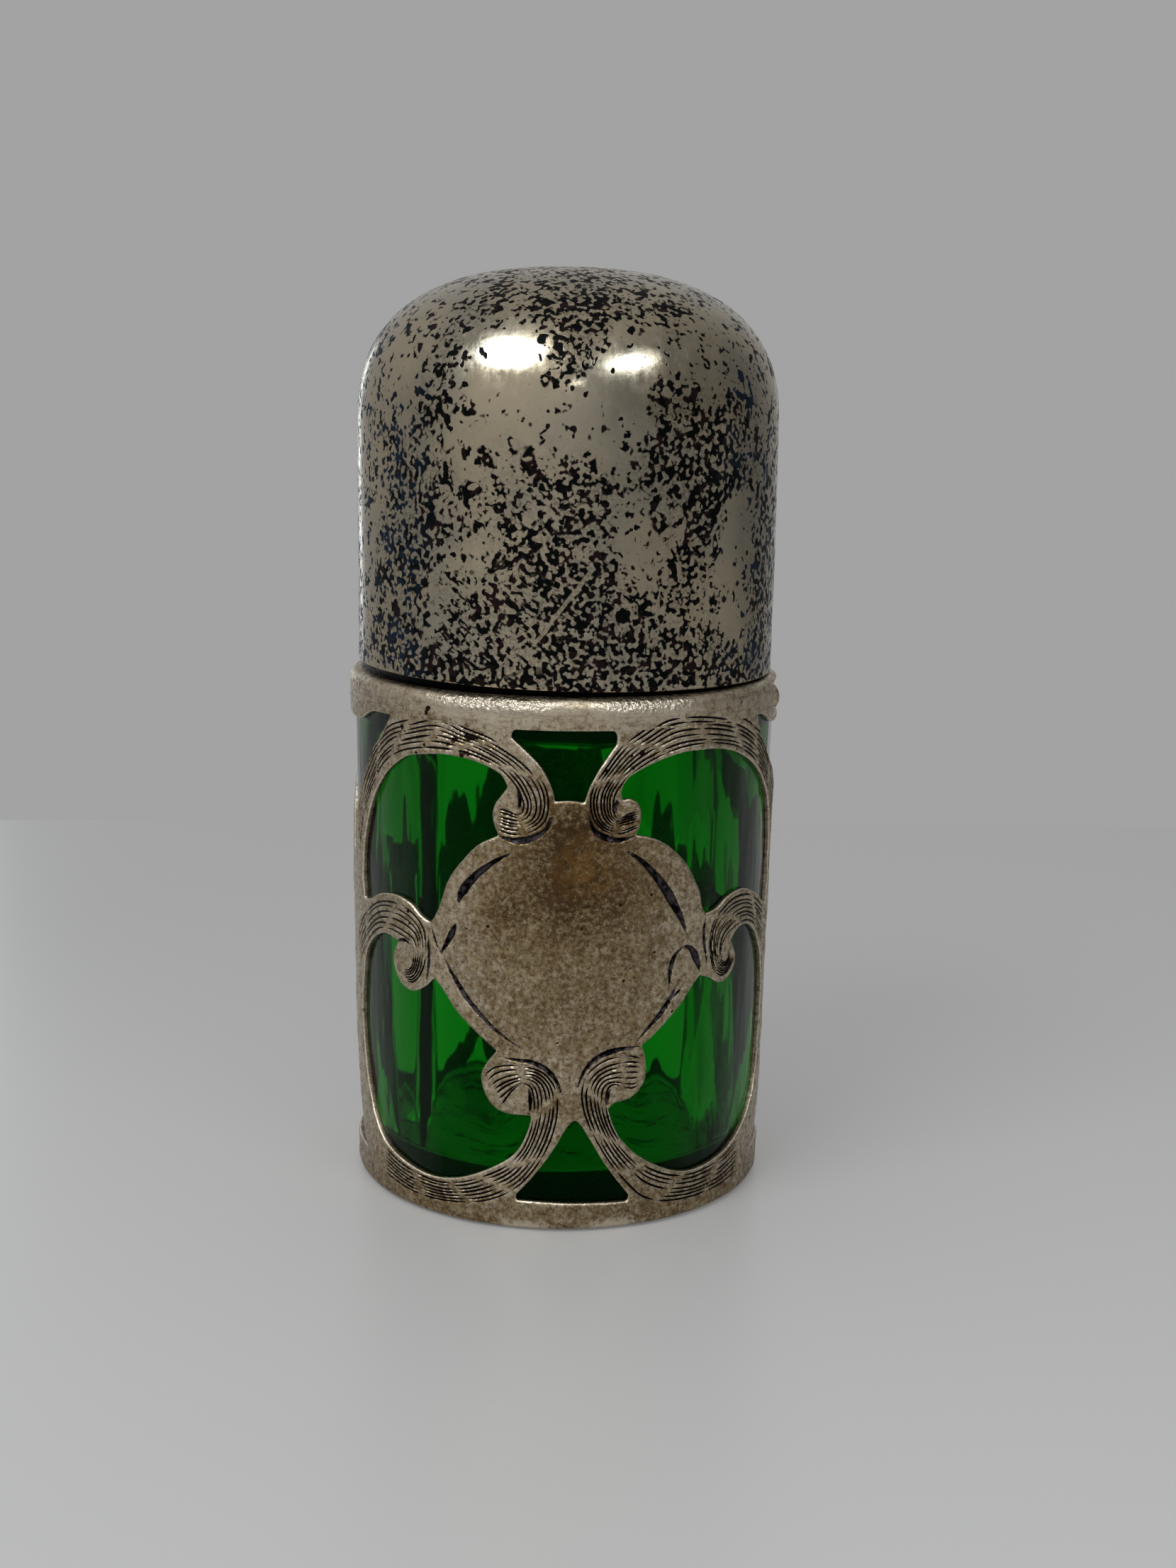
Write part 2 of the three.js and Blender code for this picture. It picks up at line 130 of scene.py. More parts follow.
def round_corners(corners, steps=6):
    """A profile with rounded corners: each corner (radius, height, rounding) is replaced by points on the
    curve that leaves the straight sides that far from the corner and is pulled towards it."""
    path = []
    places = np.array([corner[:2] for corner in corners], float)
    for i, corner in enumerate(corners):
        rounding = corner[2] if len(corner) > 2 else 0
        if rounding == 0:
            path.append(places[i])
            continue
        before, after = places[i - 1] - places[i], places[(i + 1) % len(corners)] - places[i]
        start = places[i] + before / np.hypot(*before) * rounding
        end = places[i] + after / np.hypot(*after) * rounding
        t = np.linspace(0, 1, steps)[:, None]
        path.extend((1 - t) ** 2 * start + 2 * t * (1 - t) * places[i] + t**2 * end)
    return np.array(path)


def split_long(profile, longest):
    """The same profile with extra points, so that no step along it is longer than a given length."""
    parts = []
    for start, end in zip(profile, np.roll(profile, -1, axis=0)):
        count = max(1, int(np.ceil(np.hypot(*(end - start)) / longest)))
        parts.append(start + (end - start) * (np.arange(count) / count)[:, None])
    return np.concatenate(parts)


def turn(profile, steps=ROUND_STEPS, bend=None):
    """Points and faces of a closed profile turned about the vertical axis. A point at an angle a and a
    radius r lies at x = r sin a and y = -r cos a. bend(a, r, z) may change the radii and heights."""
    angle = np.arange(steps) * 2 * math.pi / steps
    radius, height = profile[:, :1] + 0 * angle, profile[:, 1:] + 0 * angle
    if bend:
        radius, height = bend(angle, radius, height)
    points = np.stack([radius * np.sin(angle), -radius * np.cos(angle), height], -1).reshape(-1, 3)
    index = np.arange(len(points)).reshape(radius.shape)
    pole = profile[:, 0] < 1e-6
    index[pole] = index[pole][:, :1]
    low, high = index, np.roll(index, -1, axis=0)
    quads = np.stack([low, np.roll(low, -1, 1), np.roll(high, -1, 1), high], -1)
    next_pole = np.roll(pole, -1)
    faces = quads[~pole & ~next_pole].reshape(-1, 4).tolist()
    faces += quads[pole & ~next_pole][..., [0, 2, 3]].reshape(-1, 3).tolist()
    faces += quads[~pole & next_pole][..., [0, 1, 2]].reshape(-1, 3).tolist()
    used, compact = np.unique(np.concatenate([np.array(face) for face in faces]), return_inverse=True)
    ends = np.cumsum([len(face) for face in faces])[:-1]
    return points[used], [face.tolist() for face in np.split(compact, ends)]


trial_points, trial_faces = turn(round_corners([(0, 0), (1, 0, 0.2), (1, 2, 0.2), (0, 2)]), 12)
print("a trial form, a rounded rod:", len(trial_points), "points and", len(trial_faces), "faces")

# %% [markdown]
# ## Helpers for materials
# A finish is a small network of nodes. Image textures could be painted instead, but a network stays sharp
# at any distance and needs no file. Patterns are measured in millimetres: a noise whose features are about
# that size has a scale of one over it. They read Object coordinates, so they stay on the metal.

# %% Nodes
def add_node(tree, kind, inputs=None, **settings):
    """Adds a shader node. An input may be a number, a colour, or another node's output to link."""
    node = tree.nodes.new("ShaderNode" + kind)
    for name, value in settings.items():
        setattr(node, name, value)
    for name, value in (inputs or {}).items():
        if isinstance(value, bpy.types.NodeSocket):
            tree.links.new(value, node.inputs[name])
        else:
            node.inputs[name].default_value = value
    return node


class Network:
    """A tree of nodes with short ways to add sums and steps to it."""

    def __init__(self, tree):
        self.tree = tree
        tree.nodes.clear()

    def calc(self, operation, a, b=0.0):
        """One sum of two numbers."""
        return add_node(self.tree, "Math", {0: a, 1: b}, operation=operation).outputs[0]

    plus = partialmethod(calc, "ADD")
    minus = partialmethod(calc, "SUBTRACT")
    times = partialmethod(calc, "MULTIPLY")
    larger = partialmethod(calc, "MAXIMUM")

    def step(self, value, low, high, to_low=0.0, to_high=1.0, shape="SMOOTHSTEP"):
        """A step from one value to another as the input goes from low to high, smooth or LINEAR."""
        inputs = {"Value": value, "From Min": low, "From Max": high, "To Min": to_low, "To Max": to_high}
        return add_node(self.tree, "MapRange", inputs, interpolation_type=shape).outputs[0]

    def fade(self, value, low, high):
        """One below the low value, nothing above the high one, and smooth between."""
        return self.step(value, low, high, 1.0, 0.0)


# %% Finishes
class Finish(Network):
    """A material that is being built: a principled shader, its place on the object, and patterns."""

    def __init__(self, name):
        self.material = bpy.data.materials.new(name)
        self.material.use_nodes = True
        super().__init__(self.material.node_tree)
        self.shader = add_node(self.tree, "BsdfPrincipled")
        self.output = add_node(self.tree, "OutputMaterial", {"Surface": self.shader.outputs[0]})
        self.place = add_node(self.tree, "TexCoord").outputs["Object"]
        self.x, self.y, self.z = add_node(self.tree, "SeparateXYZ", {"Vector": self.place}).outputs

    def noise(self, size_mm, detail=3.0, roughness=0.55, stretch=None, warp=0.0, spin=0.0):
        """Soft noise from 0 to 1, with features of about that size. It may be turned about the Y axis by
        some degrees and then stretched."""
        where = self.place
        if spin:
            turned = {"Vector": where, "Rotation": (0, math.radians(spin), 0)}
            where = add_node(self.tree, "Mapping", turned).outputs[0]
        if stretch:
            where = add_node(self.tree, "Mapping", {"Vector": where, "Scale": stretch}).outputs[0]
        inputs = {"Vector": where, "Scale": 1000 / size_mm, "Detail": detail, "Roughness": roughness}
        inputs["Distortion"] = warp
        return add_node(self.tree, "TexNoise", inputs).outputs["Fac"]

    def sway(self, amount, *pattern, **more):
        """A noise that swings evenly about nothing, by up to half the amount to each side."""
        return self.times(self.minus(self.noise(*pattern, **more), 0.5), amount)

    def field(self, name):
        """A value that was stored at the points or faces of the mesh."""
        return add_node(self.tree, "Attribute", attribute_name=name).outputs["Fac"]

    def mix(self, share, a, b):
        """A blend of two colours."""
        return add_node(self.tree, "Mix", {0: share, 6: a, 7: b}, data_type="RGBA").outputs[2]

    def paint(self, colour, *coats):
        """A colour with coats laid over it in turn. Each coat is a share from 0 to 1 and its own colour."""
        for share, coat in coats:
            colour = self.mix(share, colour, coat)
        return colour

    def bump(self, height, depth_mm, before=None):
        """A surface normal tilted by a height pattern."""
        inputs = {"Height": height, "Distance": depth_mm * MM, "Strength": 1.0}
        if before:
            inputs["Normal"] = before
        return add_node(self.tree, "Bump", inputs).outputs[0]

    def put(self, **sockets):
        """Sets or links sockets of the principled shader."""
        for socket, value in sockets.items():
            target = self.shader.inputs[socket.replace("_", " ")]
            if isinstance(value, bpy.types.NodeSocket):
                self.tree.links.new(value, target)
            else:
                target.default_value = value


# %% [markdown]
# ## Worn silver
# The sheet, collar and hinge are old silver. Its polish is gone: warm grey metal under clouds of brown
# patina, with fine dark pits, black lines where the graver cut, and brighter edges, partly where hands rub
# it and partly a painted highlight along the rims and beside the lines. A plain noise looks like dirty
# plaster, so the brown is made of grains: fine noise is cut off at a level, and the level falls where the
# mesh stores more patina. The stored value also carries painted light: it is raised on the collar plate as
# painted shade, and lowered as painted highlights at two places on the bead and two on the foot. Black
# painted shade covers the places under the cap and the walls of the window edges.

# %% Colours of worn silver
SILVER_BRIGHT = (0.66, 0.58, 0.46, 1)
SILVER_PLAIN = (0.37, 0.29, 0.17, 1)
SILVER_DULL = (0.25, 0.19, 0.10, 1)
SILVER_CLEAN = (0.50, 0.50, 0.46, 1)
PATINA_BROWN = (0.10, 0.055, 0.020, 1)
PATINA_BLACK = (0.036, 0.015, 0.004, 1)
PATINA_RED = (0.16, 0.075, 0.018, 1)
# The darkest colour is used for the engraved lines and also for the black of painted shade.
CUT_AND_SHADE_DARK = (0.004, 0.003, 0.004, 1)
CUT_GREY = (0.060, 0.050, 0.056, 1)
PIT_RED = (0.020, 0.009, 0.006, 1)
NEAR = 0.3  # the mesh stores closeness: this many mm less the distance, or nothing beyond it


def engraving(m):
    """Masks of the lines, the cuts, the pits and the bright edges. The bright edges are partly worn metal and
    partly a painted highlight along the rims and on the ridges beside the lines. The mesh stores how close
    each point is to the nearest one, and a crisp border is drawn here at the right distance, made a little
    ragged. Between engraved lines the stored value is a count: on a line it is whole."""
    ragged = m.plus(m.sway(0.16, 0.3, 4, 0.7), NEAR)
    to_cut, to_pit, to_edge = (m.minus(ragged, m.field("near_" + kind)) for kind in ("cut", "pit", "edge"))
    width = m.field("line_width")
    share = m.calc("FRACT", m.plus(m.field("line_count"), 0.5))
    to_line = m.minus(m.calc("ABSOLUTE", m.minus(share, 0.5)), m.minus(width, 0.04))
    # A pale line beside each engraved line: a burr, and a painted highlight on the ridge.
    burr_and_highlight = m.times(m.step(to_line, 0.03, 0.07), m.fade(to_line, 0.10, 0.20))
    burr_and_highlight = m.times(m.times(burr_and_highlight, m.step(width, 0.06, 0.14)), m.step(m.noise(0.5, 3), 0.48, 0.62))
    rim = m.larger(burr_and_highlight, m.fade(to_edge, 0.02, 0.10))
    return m.fade(to_line, -0.03, 0.035), m.fade(to_cut, -0.02, 0.035), m.fade(to_pit, -0.02, 0.03), rim


# %% Worn silver
def worn_silver(name):
    """Old silver: a plain and a dull grey mixed by soft clouds, brighter where hands rub it and where painted
    highlights lie. Brown grains cover a share of it that grows with the patina. The engraving lies over them,
    then black painted shade under the cap and on the walls of the window edges, and the clean inside of the
    sheet."""
    m = Finish(name)
    patina_and_painted_light, stain = m.field("patina_and_painted_light"), m.field("stain")
    line, cut, pit, rim = engraving(m)
    grains = m.noise(0.27, 5, 0.8)
    level = m.plus(patina_and_painted_light, m.sway(1.6, 2.2, 4, 0.6))
    brown = m.step(m.minus(grains, m.minus(0.578, m.times(level, 0.115))), -0.12, 0.12)
    metal = m.mix(m.step(m.noise(0.9, 5, 0.7), 0.38, 0.64), SILVER_DULL, SILVER_PLAIN)
    handled_and_highlight = m.minus(m.noise(0.5, 5, 0.75), m.times(patina_and_painted_light, 0.26))
    metal = m.mix(m.step(handled_and_highlight, 0.30, 0.62, 0.0, 0.70), metal, SILVER_BRIGHT)
    grime_and_shade = m.mix(m.step(m.plus(patina_and_painted_light, m.noise(0.5, 3)), 1.1, 1.9), PATINA_BROWN, PATINA_BLACK)
    grime_and_shade = m.mix(m.times(stain, m.step(m.noise(0.6, 3), 0.35, 0.6)), grime_and_shade, PATINA_RED)
    on_bead = m.step(m.z, (BEAD_FOOT - 0.2) * MM, (BEAD_FOOT + 0.4) * MM)
    streaks = m.step(m.noise(0.5, 4, 0.75, stretch=(0.28, 0.28, 2.6)), 0.50, 0.62)
    specks = m.step(m.noise(0.16, 3, 0.65), 0.66, 0.73)
    cut_floor = m.mix(m.step(m.noise(0.5, 3), 0.40, 0.58), CUT_AND_SHADE_DARK, CUT_GREY)
    # Painted shade: black where the mesh marks it under the cap, and a dark share on every wall of a window
    # edge.
    painted_shade_share = m.larger(m.field("painted_shade"), m.times(m.field("wall"), 0.55))
    # The bead's two crinkled places and the rims are painted bright: painted highlights.
    colour = m.paint(
        metal, (m.times(brown, 0.92), grime_and_shade), (m.times(stain, 0.22), PATINA_RED),
        (m.times(m.times(on_bead, 0.35), streaks), PATINA_BROWN), (m.times(specks, 0.75), PATINA_BROWN),
        (m.field("crinkle_and_highlight"), SILVER_BRIGHT), (m.times(rim, 0.8), SILVER_BRIGHT), (pit, PIT_RED),
        (line, CUT_AND_SHADE_DARK), (cut, cut_floor), (painted_shade_share, CUT_AND_SHADE_DARK), (m.field("inside"), SILVER_CLEAN))
    dug = m.larger(m.larger(line, cut), m.larger(pit, m.times(specks, 0.3)))
    crinkle_and_highlight = m.times(m.noise(0.26, 2.5, 0.55), m.field("crinkle_and_highlight"))
    normal = m.bump(m.minus(1.0, dug), 0.05, m.bump(crinkle_and_highlight, 0.3, m.bump(grains, 0.03)))
    rough = m.plus(m.step(grains, 0.3, 0.7, 0.21, 0.36), m.times(brown, 0.16))
    m.put(Base_Color=colour, Metallic=m.step(brown, 0.2, 1.0, 1.0, 0.94), Roughness=rough, Normal=normal,
          Specular_IOR_Level=0.2)
    return m.material


sheet_silver = worn_silver("worn_silver_sheet")
mount_silver = worn_silver("worn_silver_mounts")
print("nodes in worn silver:", len(sheet_silver.node_tree.nodes))

# %% [markdown]
# ## Tarnished silver
# The cap is spotted all over with tarnish: thousands of blue-black flakes, from a tenth of a millimetre to
# one millimetre, with ragged outlines. They could be scattered one by one, but noise is quicker: it is dark
# where it rises above a level that follows the share of tarnish there, which gives single spots where there
# is little and a dark net where there is much. Three sizes of flakes are laid over one another, with round
# spots, and another noise leaves light gaps in them.

# %% Tarnished silver
CAP_METAL = (0.41, 0.35, 0.25, 1)
CAP_METAL_GREY = (0.345, 0.31, 0.24, 1)
TARNISH_BLACK = (0.002, 0.0025, 0.0025, 1)
TARNISH_BLUE = (0.008, 0.016, 0.028, 1)
TARNISH_RED = (0.014, 0.007, 0.007, 1)
TARNISH_BROWN = (0.05, 0.034, 0.02, 1)
MOST_TARNISH = 0.86
SCRATCH_START, SCRATCH_END = (-2.2, 35.7), (0.9, 39.9)  # x and z of its ends on the front


def tarnish_flakes(m, crowd):
    """A mask of the flakes. Each pattern is dark where it rises above one half together with its share of
    the crowd. Low on the left the flakes lie along slanting strokes, as if they had been wiped."""
    slant = m.field("slant")

    def flakes(pattern, spread, less):
        return m.step(m.plus(pattern, m.times(m.minus(crowd, 0.5 + less), spread)), 0.475, 0.535)

    upright = m.noise(0.78, 0.9, 0.5, stretch=(1.0, 1.0, 0.75), warp=0.12)
    slanted = m.noise(0.40, 0.8, 0.5, stretch=(0.22, 0.6, 1.35), spin=-38)
    large = flakes(m.plus(upright, m.times(slant, m.minus(slanted, upright))), 0.28, 0.24)
    small = m.times(flakes(m.noise(0.44, 0.7, 0.5, warp=0.1), 0.34, 0.25), m.fade(slant, 0.1, 0.8))
    dust = flakes(m.noise(0.22, 0.6, 0.5), 0.40, 0.45)
    spots = m.plus(m.noise(0.62, 0.6, 0.5, stretch=(1.1, 1.1, 0.8)), m.times(crowd, 0.12))
    flake = m.larger(m.larger(large, small), m.larger(dust, m.step(spots, 0.685, 0.715)))
    return m.times(flake, m.fade(m.noise(0.34, 0.5), 0.515, 0.60))


def rubbed_scratch(m):
    """A mask of one long scratch low on the front. A point's distance from the line between the scratch's
    ends is the part of its offset that lies across the line, and it wavers a little."""
    (x, z), (x_end, z_end) = (tuple(value * MM for value in end) for end in (SCRATCH_START, SCRATCH_END))
    length = math.hypot(x_end - x, z_end - z)
    from_x = m.times(m.minus(m.x, x), (z_end - z) / length)
    from_z = m.times(m.minus(m.z, z), (x_end - x) / length)
    off_line = m.calc("ABSOLUTE", m.plus(m.minus(from_x, from_z), m.sway(0.25 * MM, 0.8, 2)))
    between = m.times(m.calc("GREATER_THAN", m.z, z), m.calc("LESS_THAN", m.z, z_end))
    return m.times(m.times(m.fade(off_line, 0.08 * MM, 0.16 * MM), between), m.calc("LESS_THAN", m.y, 0))


def tarnished_silver():
    """Silver with flakes of tarnish, a brownish veil between them where they are dense, one rubbed scratch,
    and hairlines in the roughness. The flakes are bluer at the cap's sides."""
    m = Finish("tarnished_silver_cap")
    crowd = m.calc("MINIMUM", m.plus(m.field("tarnish_and_highlights"), m.sway(1.0, 1.9, 3, 0.6)), MOST_TARNISH)
    flake = m.times(tarnish_flakes(m, crowd), m.minus(1.0, m.times(rubbed_scratch(m), 0.9)))
    metal = m.mix(m.step(m.noise(5, 3), 0.38, 0.62), CAP_METAL, CAP_METAL_GREY)
    veil = m.times(m.step(crowd, 0.1, 1.0), m.step(m.noise(0.22, 3, 0.7), 0.40, 0.62))
    dark = m.mix(m.step(m.noise(0.7, 2), 0.5, 0.62), TARNISH_BLACK, TARNISH_RED)
    at_side = m.step(m.calc("ABSOLUTE", m.x), 7.5 * MM, 10.2 * MM)
    dark = m.mix(m.times(at_side, m.step(m.noise(1.3, 3), 0.42, 0.56)), dark, TARNISH_BLUE)
    hairs = m.noise(0.3, 4, 0.7, stretch=(1.0, 1.0, 0.15))
    rough = m.plus(m.step(m.noise(1.2, 4, 0.65), 0.3, 0.7, 0.12, 0.27), m.times(flake, 0.16))
    rough = m.plus(rough, m.step(hairs, 0.4, 0.7, -0.02, 0.05))
    height = m.minus(m.times(m.noise(0.6, 4, 0.6), 0.6), m.times(flake, 0.5))
    normal = m.bump(m.noise(6, 1.5), 0.04, m.bump(m.noise(1.1, 3.5, 0.6), 0.014, m.bump(height, 0.006)))
    m.put(Base_Color=m.paint(metal, (m.times(veil, 0.5), TARNISH_BROWN), (flake, dark)), Roughness=rough,
          Metallic=m.step(flake, 0, 1, 1.0, 0.0), Normal=normal, Specular_IOR_Level=0.03)
    return m.material


cap_silver = tarnished_silver()
print("nodes in tarnished silver:", len(cap_silver.node_tree.nodes))

# %% [markdown]
# ## Green glass
# A green surface colour would make every part of the glass equally green. Thick glass is coloured all
# through, so here its colour comes from the light that it swallows on the way. The foot, where light passes
# through two centimetres of glass, looks almost black, and the wall looks emerald.

# %% Green glass
GLASS_GREEN = (0.02, 0.77, 0.11, 1)
GLASS_DENSITY = 960.0


def green_glass():
    """Clear glass with a faint ripple on its surface and an absorption that lets only green through."""
    m = Finish("green_glass")
    ripple = m.noise(3.0, 2.5, 0.5, stretch=(1, 1, 0.22))
    m.put(Base_Color=(0.80, 1.0, 0.84, 1), Roughness=0.05, IOR=1.5, Transmission_Weight=1.0,
          Specular_Tint=(0.02, 0.25, 0.05, 1), Normal=m.bump(ripple, 0.22))
    absorb = add_node(m.tree, "VolumeAbsorption", {"Color": GLASS_GREEN, "Density": GLASS_DENSITY})
    m.tree.links.new(absorb.outputs[0], m.output.inputs["Volume"])
    return m.material


glass = green_glass()
print("glass absorbs all but", GLASS_GREEN[:3])

# %% Cement
# Both tones are darker than plaster would be: painted shade for the dark tops of the windows, where the
# cement is seen through the glass.
CEMENT_DARK, CEMENT_PALE = (0.34, 0.30, 0.23, 1), (0.52, 0.47, 0.39, 1)


def cement_material():
    """Plaster-like cement: a dimmed off-white broken up by grains, the dimming being painted shade."""
    m = Finish("cement")
    grains = m.noise(0.3, 4, 0.7)
    m.put(Base_Color=m.mix(m.step(grains, 0.3, 0.7), CEMENT_DARK, CEMENT_PALE), Roughness=0.9,
          Normal=m.bump(grains, 0.05))
    return m.material


cement = cement_material()
print("cement between", CEMENT_DARK[:3], "and", CEMENT_PALE[:3])

# %% [markdown]
# ## The camera
# The camera stands a little to the left of the front, looks down by about twelve degrees and is turned by
# one degree about its own line of sight, as when a phone is held by hand. A Track To constraint could aim
# it, but not turn it, so its three axes are worked out.

# %% Camera
CAMERA_PLACE = (-5.59, -127.97, 50.96)
CAMERA_HEADING = 3.217
CAMERA_PITCH = 11.49
CAMERA_ROLL = 1.017
CAMERA_LENS = 46.855


def camera_turn(heading, pitch, roll):
    """The camera's three axes: the line of sight from its heading and pitch, the level right hand, and up
    at right angles to both; right and up are then turned about the line of sight."""
    h, p, r = map(math.radians, (heading, pitch, roll))
    sight = Vector((math.sin(h) * math.cos(p), math.cos(h) * math.cos(p), -math.sin(p)))
    right = Vector((math.cos(h), -math.sin(h), 0))
    up = right.cross(sight)
    right, up = right * math.cos(r) + up * math.sin(r), up * math.cos(r) - right * math.sin(r)
    return Matrix((right, up, -sight)).transposed()


camera_data = bpy.data.cameras.new("camera")
camera_data.lens = CAMERA_LENS
camera_data.sensor_width = 36
camera_data.clip_start, camera_data.clip_end = 0.005, 10
camera = bpy.data.objects.new("camera", camera_data)
bpy.context.scene.collection.objects.link(camera)
camera.matrix_world = Matrix.Translation(Vector(CAMERA_PLACE) * MM) @ camera_turn(
    CAMERA_HEADING, CAMERA_PITCH, CAMERA_ROLL).to_4x4()
bpy.context.scene.camera = camera
bpy.context.scene.view_settings.view_transform = "Standard"
print("camera", round(math.dist(CAMERA_PLACE, (0, 0, 28)), 1), "mm from the bottle's middle")

# %% [markdown]
# ## Light, floor and background
# Polished silver shows the room around it, so the room is built for its reflections. A large window lamp
# at the upper left of the camera and a narrow one at the upper right make the two bright spots on the
# cap's shoulder. Each has a twin that is seen only in reflections, which makes the spots bright without
# more light on the bottle. A small lamp in front makes the collar sparkle, and an upright one behind on the
# left draws the thin light line on the cap's left edge.

# %% Lamps
SHINE_COLOUR = (0.86, 0.94, 1.0)
STRIP_TILT = math.radians(12)


def add_lamp(name, place, towards, size, power, spin=0.0, diffuse=True):
    """A rectangular lamp at a place in millimetres that shines towards a point. One without diffuse light
    is an ellipse that shows only as a reflection."""
    data = bpy.data.lights.new(name, "AREA")
    data.shape = "RECTANGLE" if diffuse else "ELLIPSE"
    data.size, data.size_y = size[0] * MM, size[1] * MM
    data.energy = power
    data.color = (1, 1, 1) if diffuse else SHINE_COLOUR
    lamp = bpy.data.objects.new(name, data)
    lamp.visible_camera = False
    lamp.visible_diffuse = diffuse
    bpy.context.scene.collection.objects.link(lamp)
    aim = (Vector(towards) - Vector(place)).to_track_quat("-Z", "Y").to_matrix()
    aim = aim @ Matrix.Rotation(spin, 3, "Z")
    lamp.matrix_world = Matrix.Translation(Vector(place) * MM) @ aim.to_4x4()


add_lamp("window_lamp", place=(-143, -161, 271), towards=(-4, -12, 52), size=(150, 130), power=0.25)
add_lamp("window_shine", place=(-143, -161, 270), towards=(-4, -12, 52), size=(190, 160), power=0.46,
         diffuse=False)
add_lamp("strip_lamp", place=(139, -205, 237), towards=(3, -12, 51), size=(110, 30), power=0.06,
         spin=STRIP_TILT)
add_lamp("strip_shine", place=(139, -205, 236), towards=(3, -12, 51), size=(135, 48), power=0.16,
         spin=STRIP_TILT, diffuse=False)
add_lamp("spark_lamp", place=(10, -288, 168), towards=(0, -12, 50), size=(34, 16), power=0.008)
add_lamp("side_shine", place=(-118, 262, 47), towards=(0, 0, 47), size=(24, 120), power=0.02, diffuse=False)
print("lamps:", len(bpy.data.lights))

# %% [markdown]
# The room is a world of soft greys: a little lighter upwards and towards the window, darker on the right,
# which the cap's right side reflects. Camera rays see a plain grey wall. Rays that pass through the glass
# see the same wall, brighter on the left, because the glass's left half is the brighter one.

# %% Room
ROOM_GREY = 0.365
WINDOW_SIDE = (-0.47, -0.87, 0.1)
DARK_SIDE = (1.0, -0.1, 0.0)


def grey_room():
    """Lights the world by direction: how far a ray points to a side is the product of the two directions."""
    world = bpy.data.worlds.new("grey_room")
    bpy.context.scene.world = world
    world.use_nodes = True
    m = Network(world.node_tree)
    ray = add_node(m.tree, "TexCoord").outputs["Generated"]
    upwards = add_node(m.tree, "SeparateXYZ", {"Vector": ray}).outputs["Z"]
    to_window, to_dark = (add_node(m.tree, "VectorMath", {0: ray, 1: side}, operation="DOT_PRODUCT")
                          .outputs["Value"] for side in (WINDOW_SIDE, DARK_SIDE))
    walls = m.plus(m.step(upwards, -0.1, 0.9, 0.40, 0.52, "LINEAR"), m.step(to_window, 0.55, 1.0, 0.0, 0.22))
    walls = m.times(walls, m.step(to_dark, 0.1, 0.9, 1.0, 0.5))
    through = m.step(to_dark, -0.9, 0.9, ROOM_GREY * 1.3, ROOM_GREY * 0.36, "LINEAR")
    path = add_node(m.tree, "LightPath").outputs
    seen = m.larger(path["Is Camera Ray"], path["Is Transmission Ray"])
    plain = add_node(m.tree, "Mix", {0: path["Is Transmission Ray"], 2: ROOM_GREY, 3: through}).outputs[0]
    strength = add_node(m.tree, "Mix", {0: seen, 2: walls, 3: plain}).outputs[0]
    background = add_node(m.tree, "Background", {"Color": (1.0, 1.0, 1.0, 1), "Strength": strength})
    add_node(m.tree, "OutputWorld", {"Surface": background.outputs[0]})
    return world


print("room:", len(grey_room().node_tree.nodes), "nodes")

# %% Floor
FLOOR_REACH, FLOOR_BACK = 3.0, 0.1  # metres
FLOOR_PALE, FLOOR_SHADED = (0.565, 0.57, 0.57, 1), (0.355, 0.36, 0.357, 1)


def add_floor():
    """A wide level shelf under the bottle, slightly darker behind, that ends ten centimetres behind it.
    It glows faintly though it is no lamp: painted light that also lightens the shadow under the bottle.
    """
    mesh = bpy.data.meshes.new("floor")
    near_edge = [(-FLOOR_REACH, -FLOOR_REACH, 0), (FLOOR_REACH, -FLOOR_REACH, 0)]
    far_edge = [(FLOOR_REACH, FLOOR_BACK, 0), (-FLOOR_REACH, FLOOR_BACK, 0)]
    mesh.from_pydata(near_edge + far_edge, [], [(0, 1, 2, 3)])
    m = Finish("floor")
    colour = m.mix(m.step(m.y, -0.09, 0.1), FLOOR_PALE, FLOOR_SHADED)
    # A faint glow from the floor itself: painted light, standing in for light from below a clear shelf.
    m.put(Base_Color=colour, Roughness=0.33, IOR=1.4, Emission_Color=(1, 1, 1, 1), Emission_Strength=0.11)
    mesh.materials.append(m.material)
    floor = bpy.data.objects.new("floor", mesh)
    bpy.context.scene.collection.objects.link(floor)
    return floor


print("floor:", add_floor().name)

# %% [markdown]
# ## The glass flask
# One closed turned form: a thick base, a slightly tapered wall, a low shoulder under the collar, and a neck
# with a ground bore for the stopper. The inside is part of the same skin, because glass shows both. The
# real inner wall is uneven, and its ridges bend the light into upright streaks, so the wall waves here too.

# %% Glass flask
CAVITY_RADIUS = 10.3
CAVITY_FLOOR = 3.0
CAVITY_TOP = 29.7
BORE_RADIUS = 3.3
SHOULDER_TOP = 30.9
LIP_OVERHANG = 1.0
WALL_RIDGES = [  # depth in mm, how many round the axis, phase, lean
    (0.30, 5, 0.4, 0.03), (0.26, 9, 2.0, -0.06), (0.16, 14, 4.4, 0.05), (0.07, 23, 1.1, -0.04)]


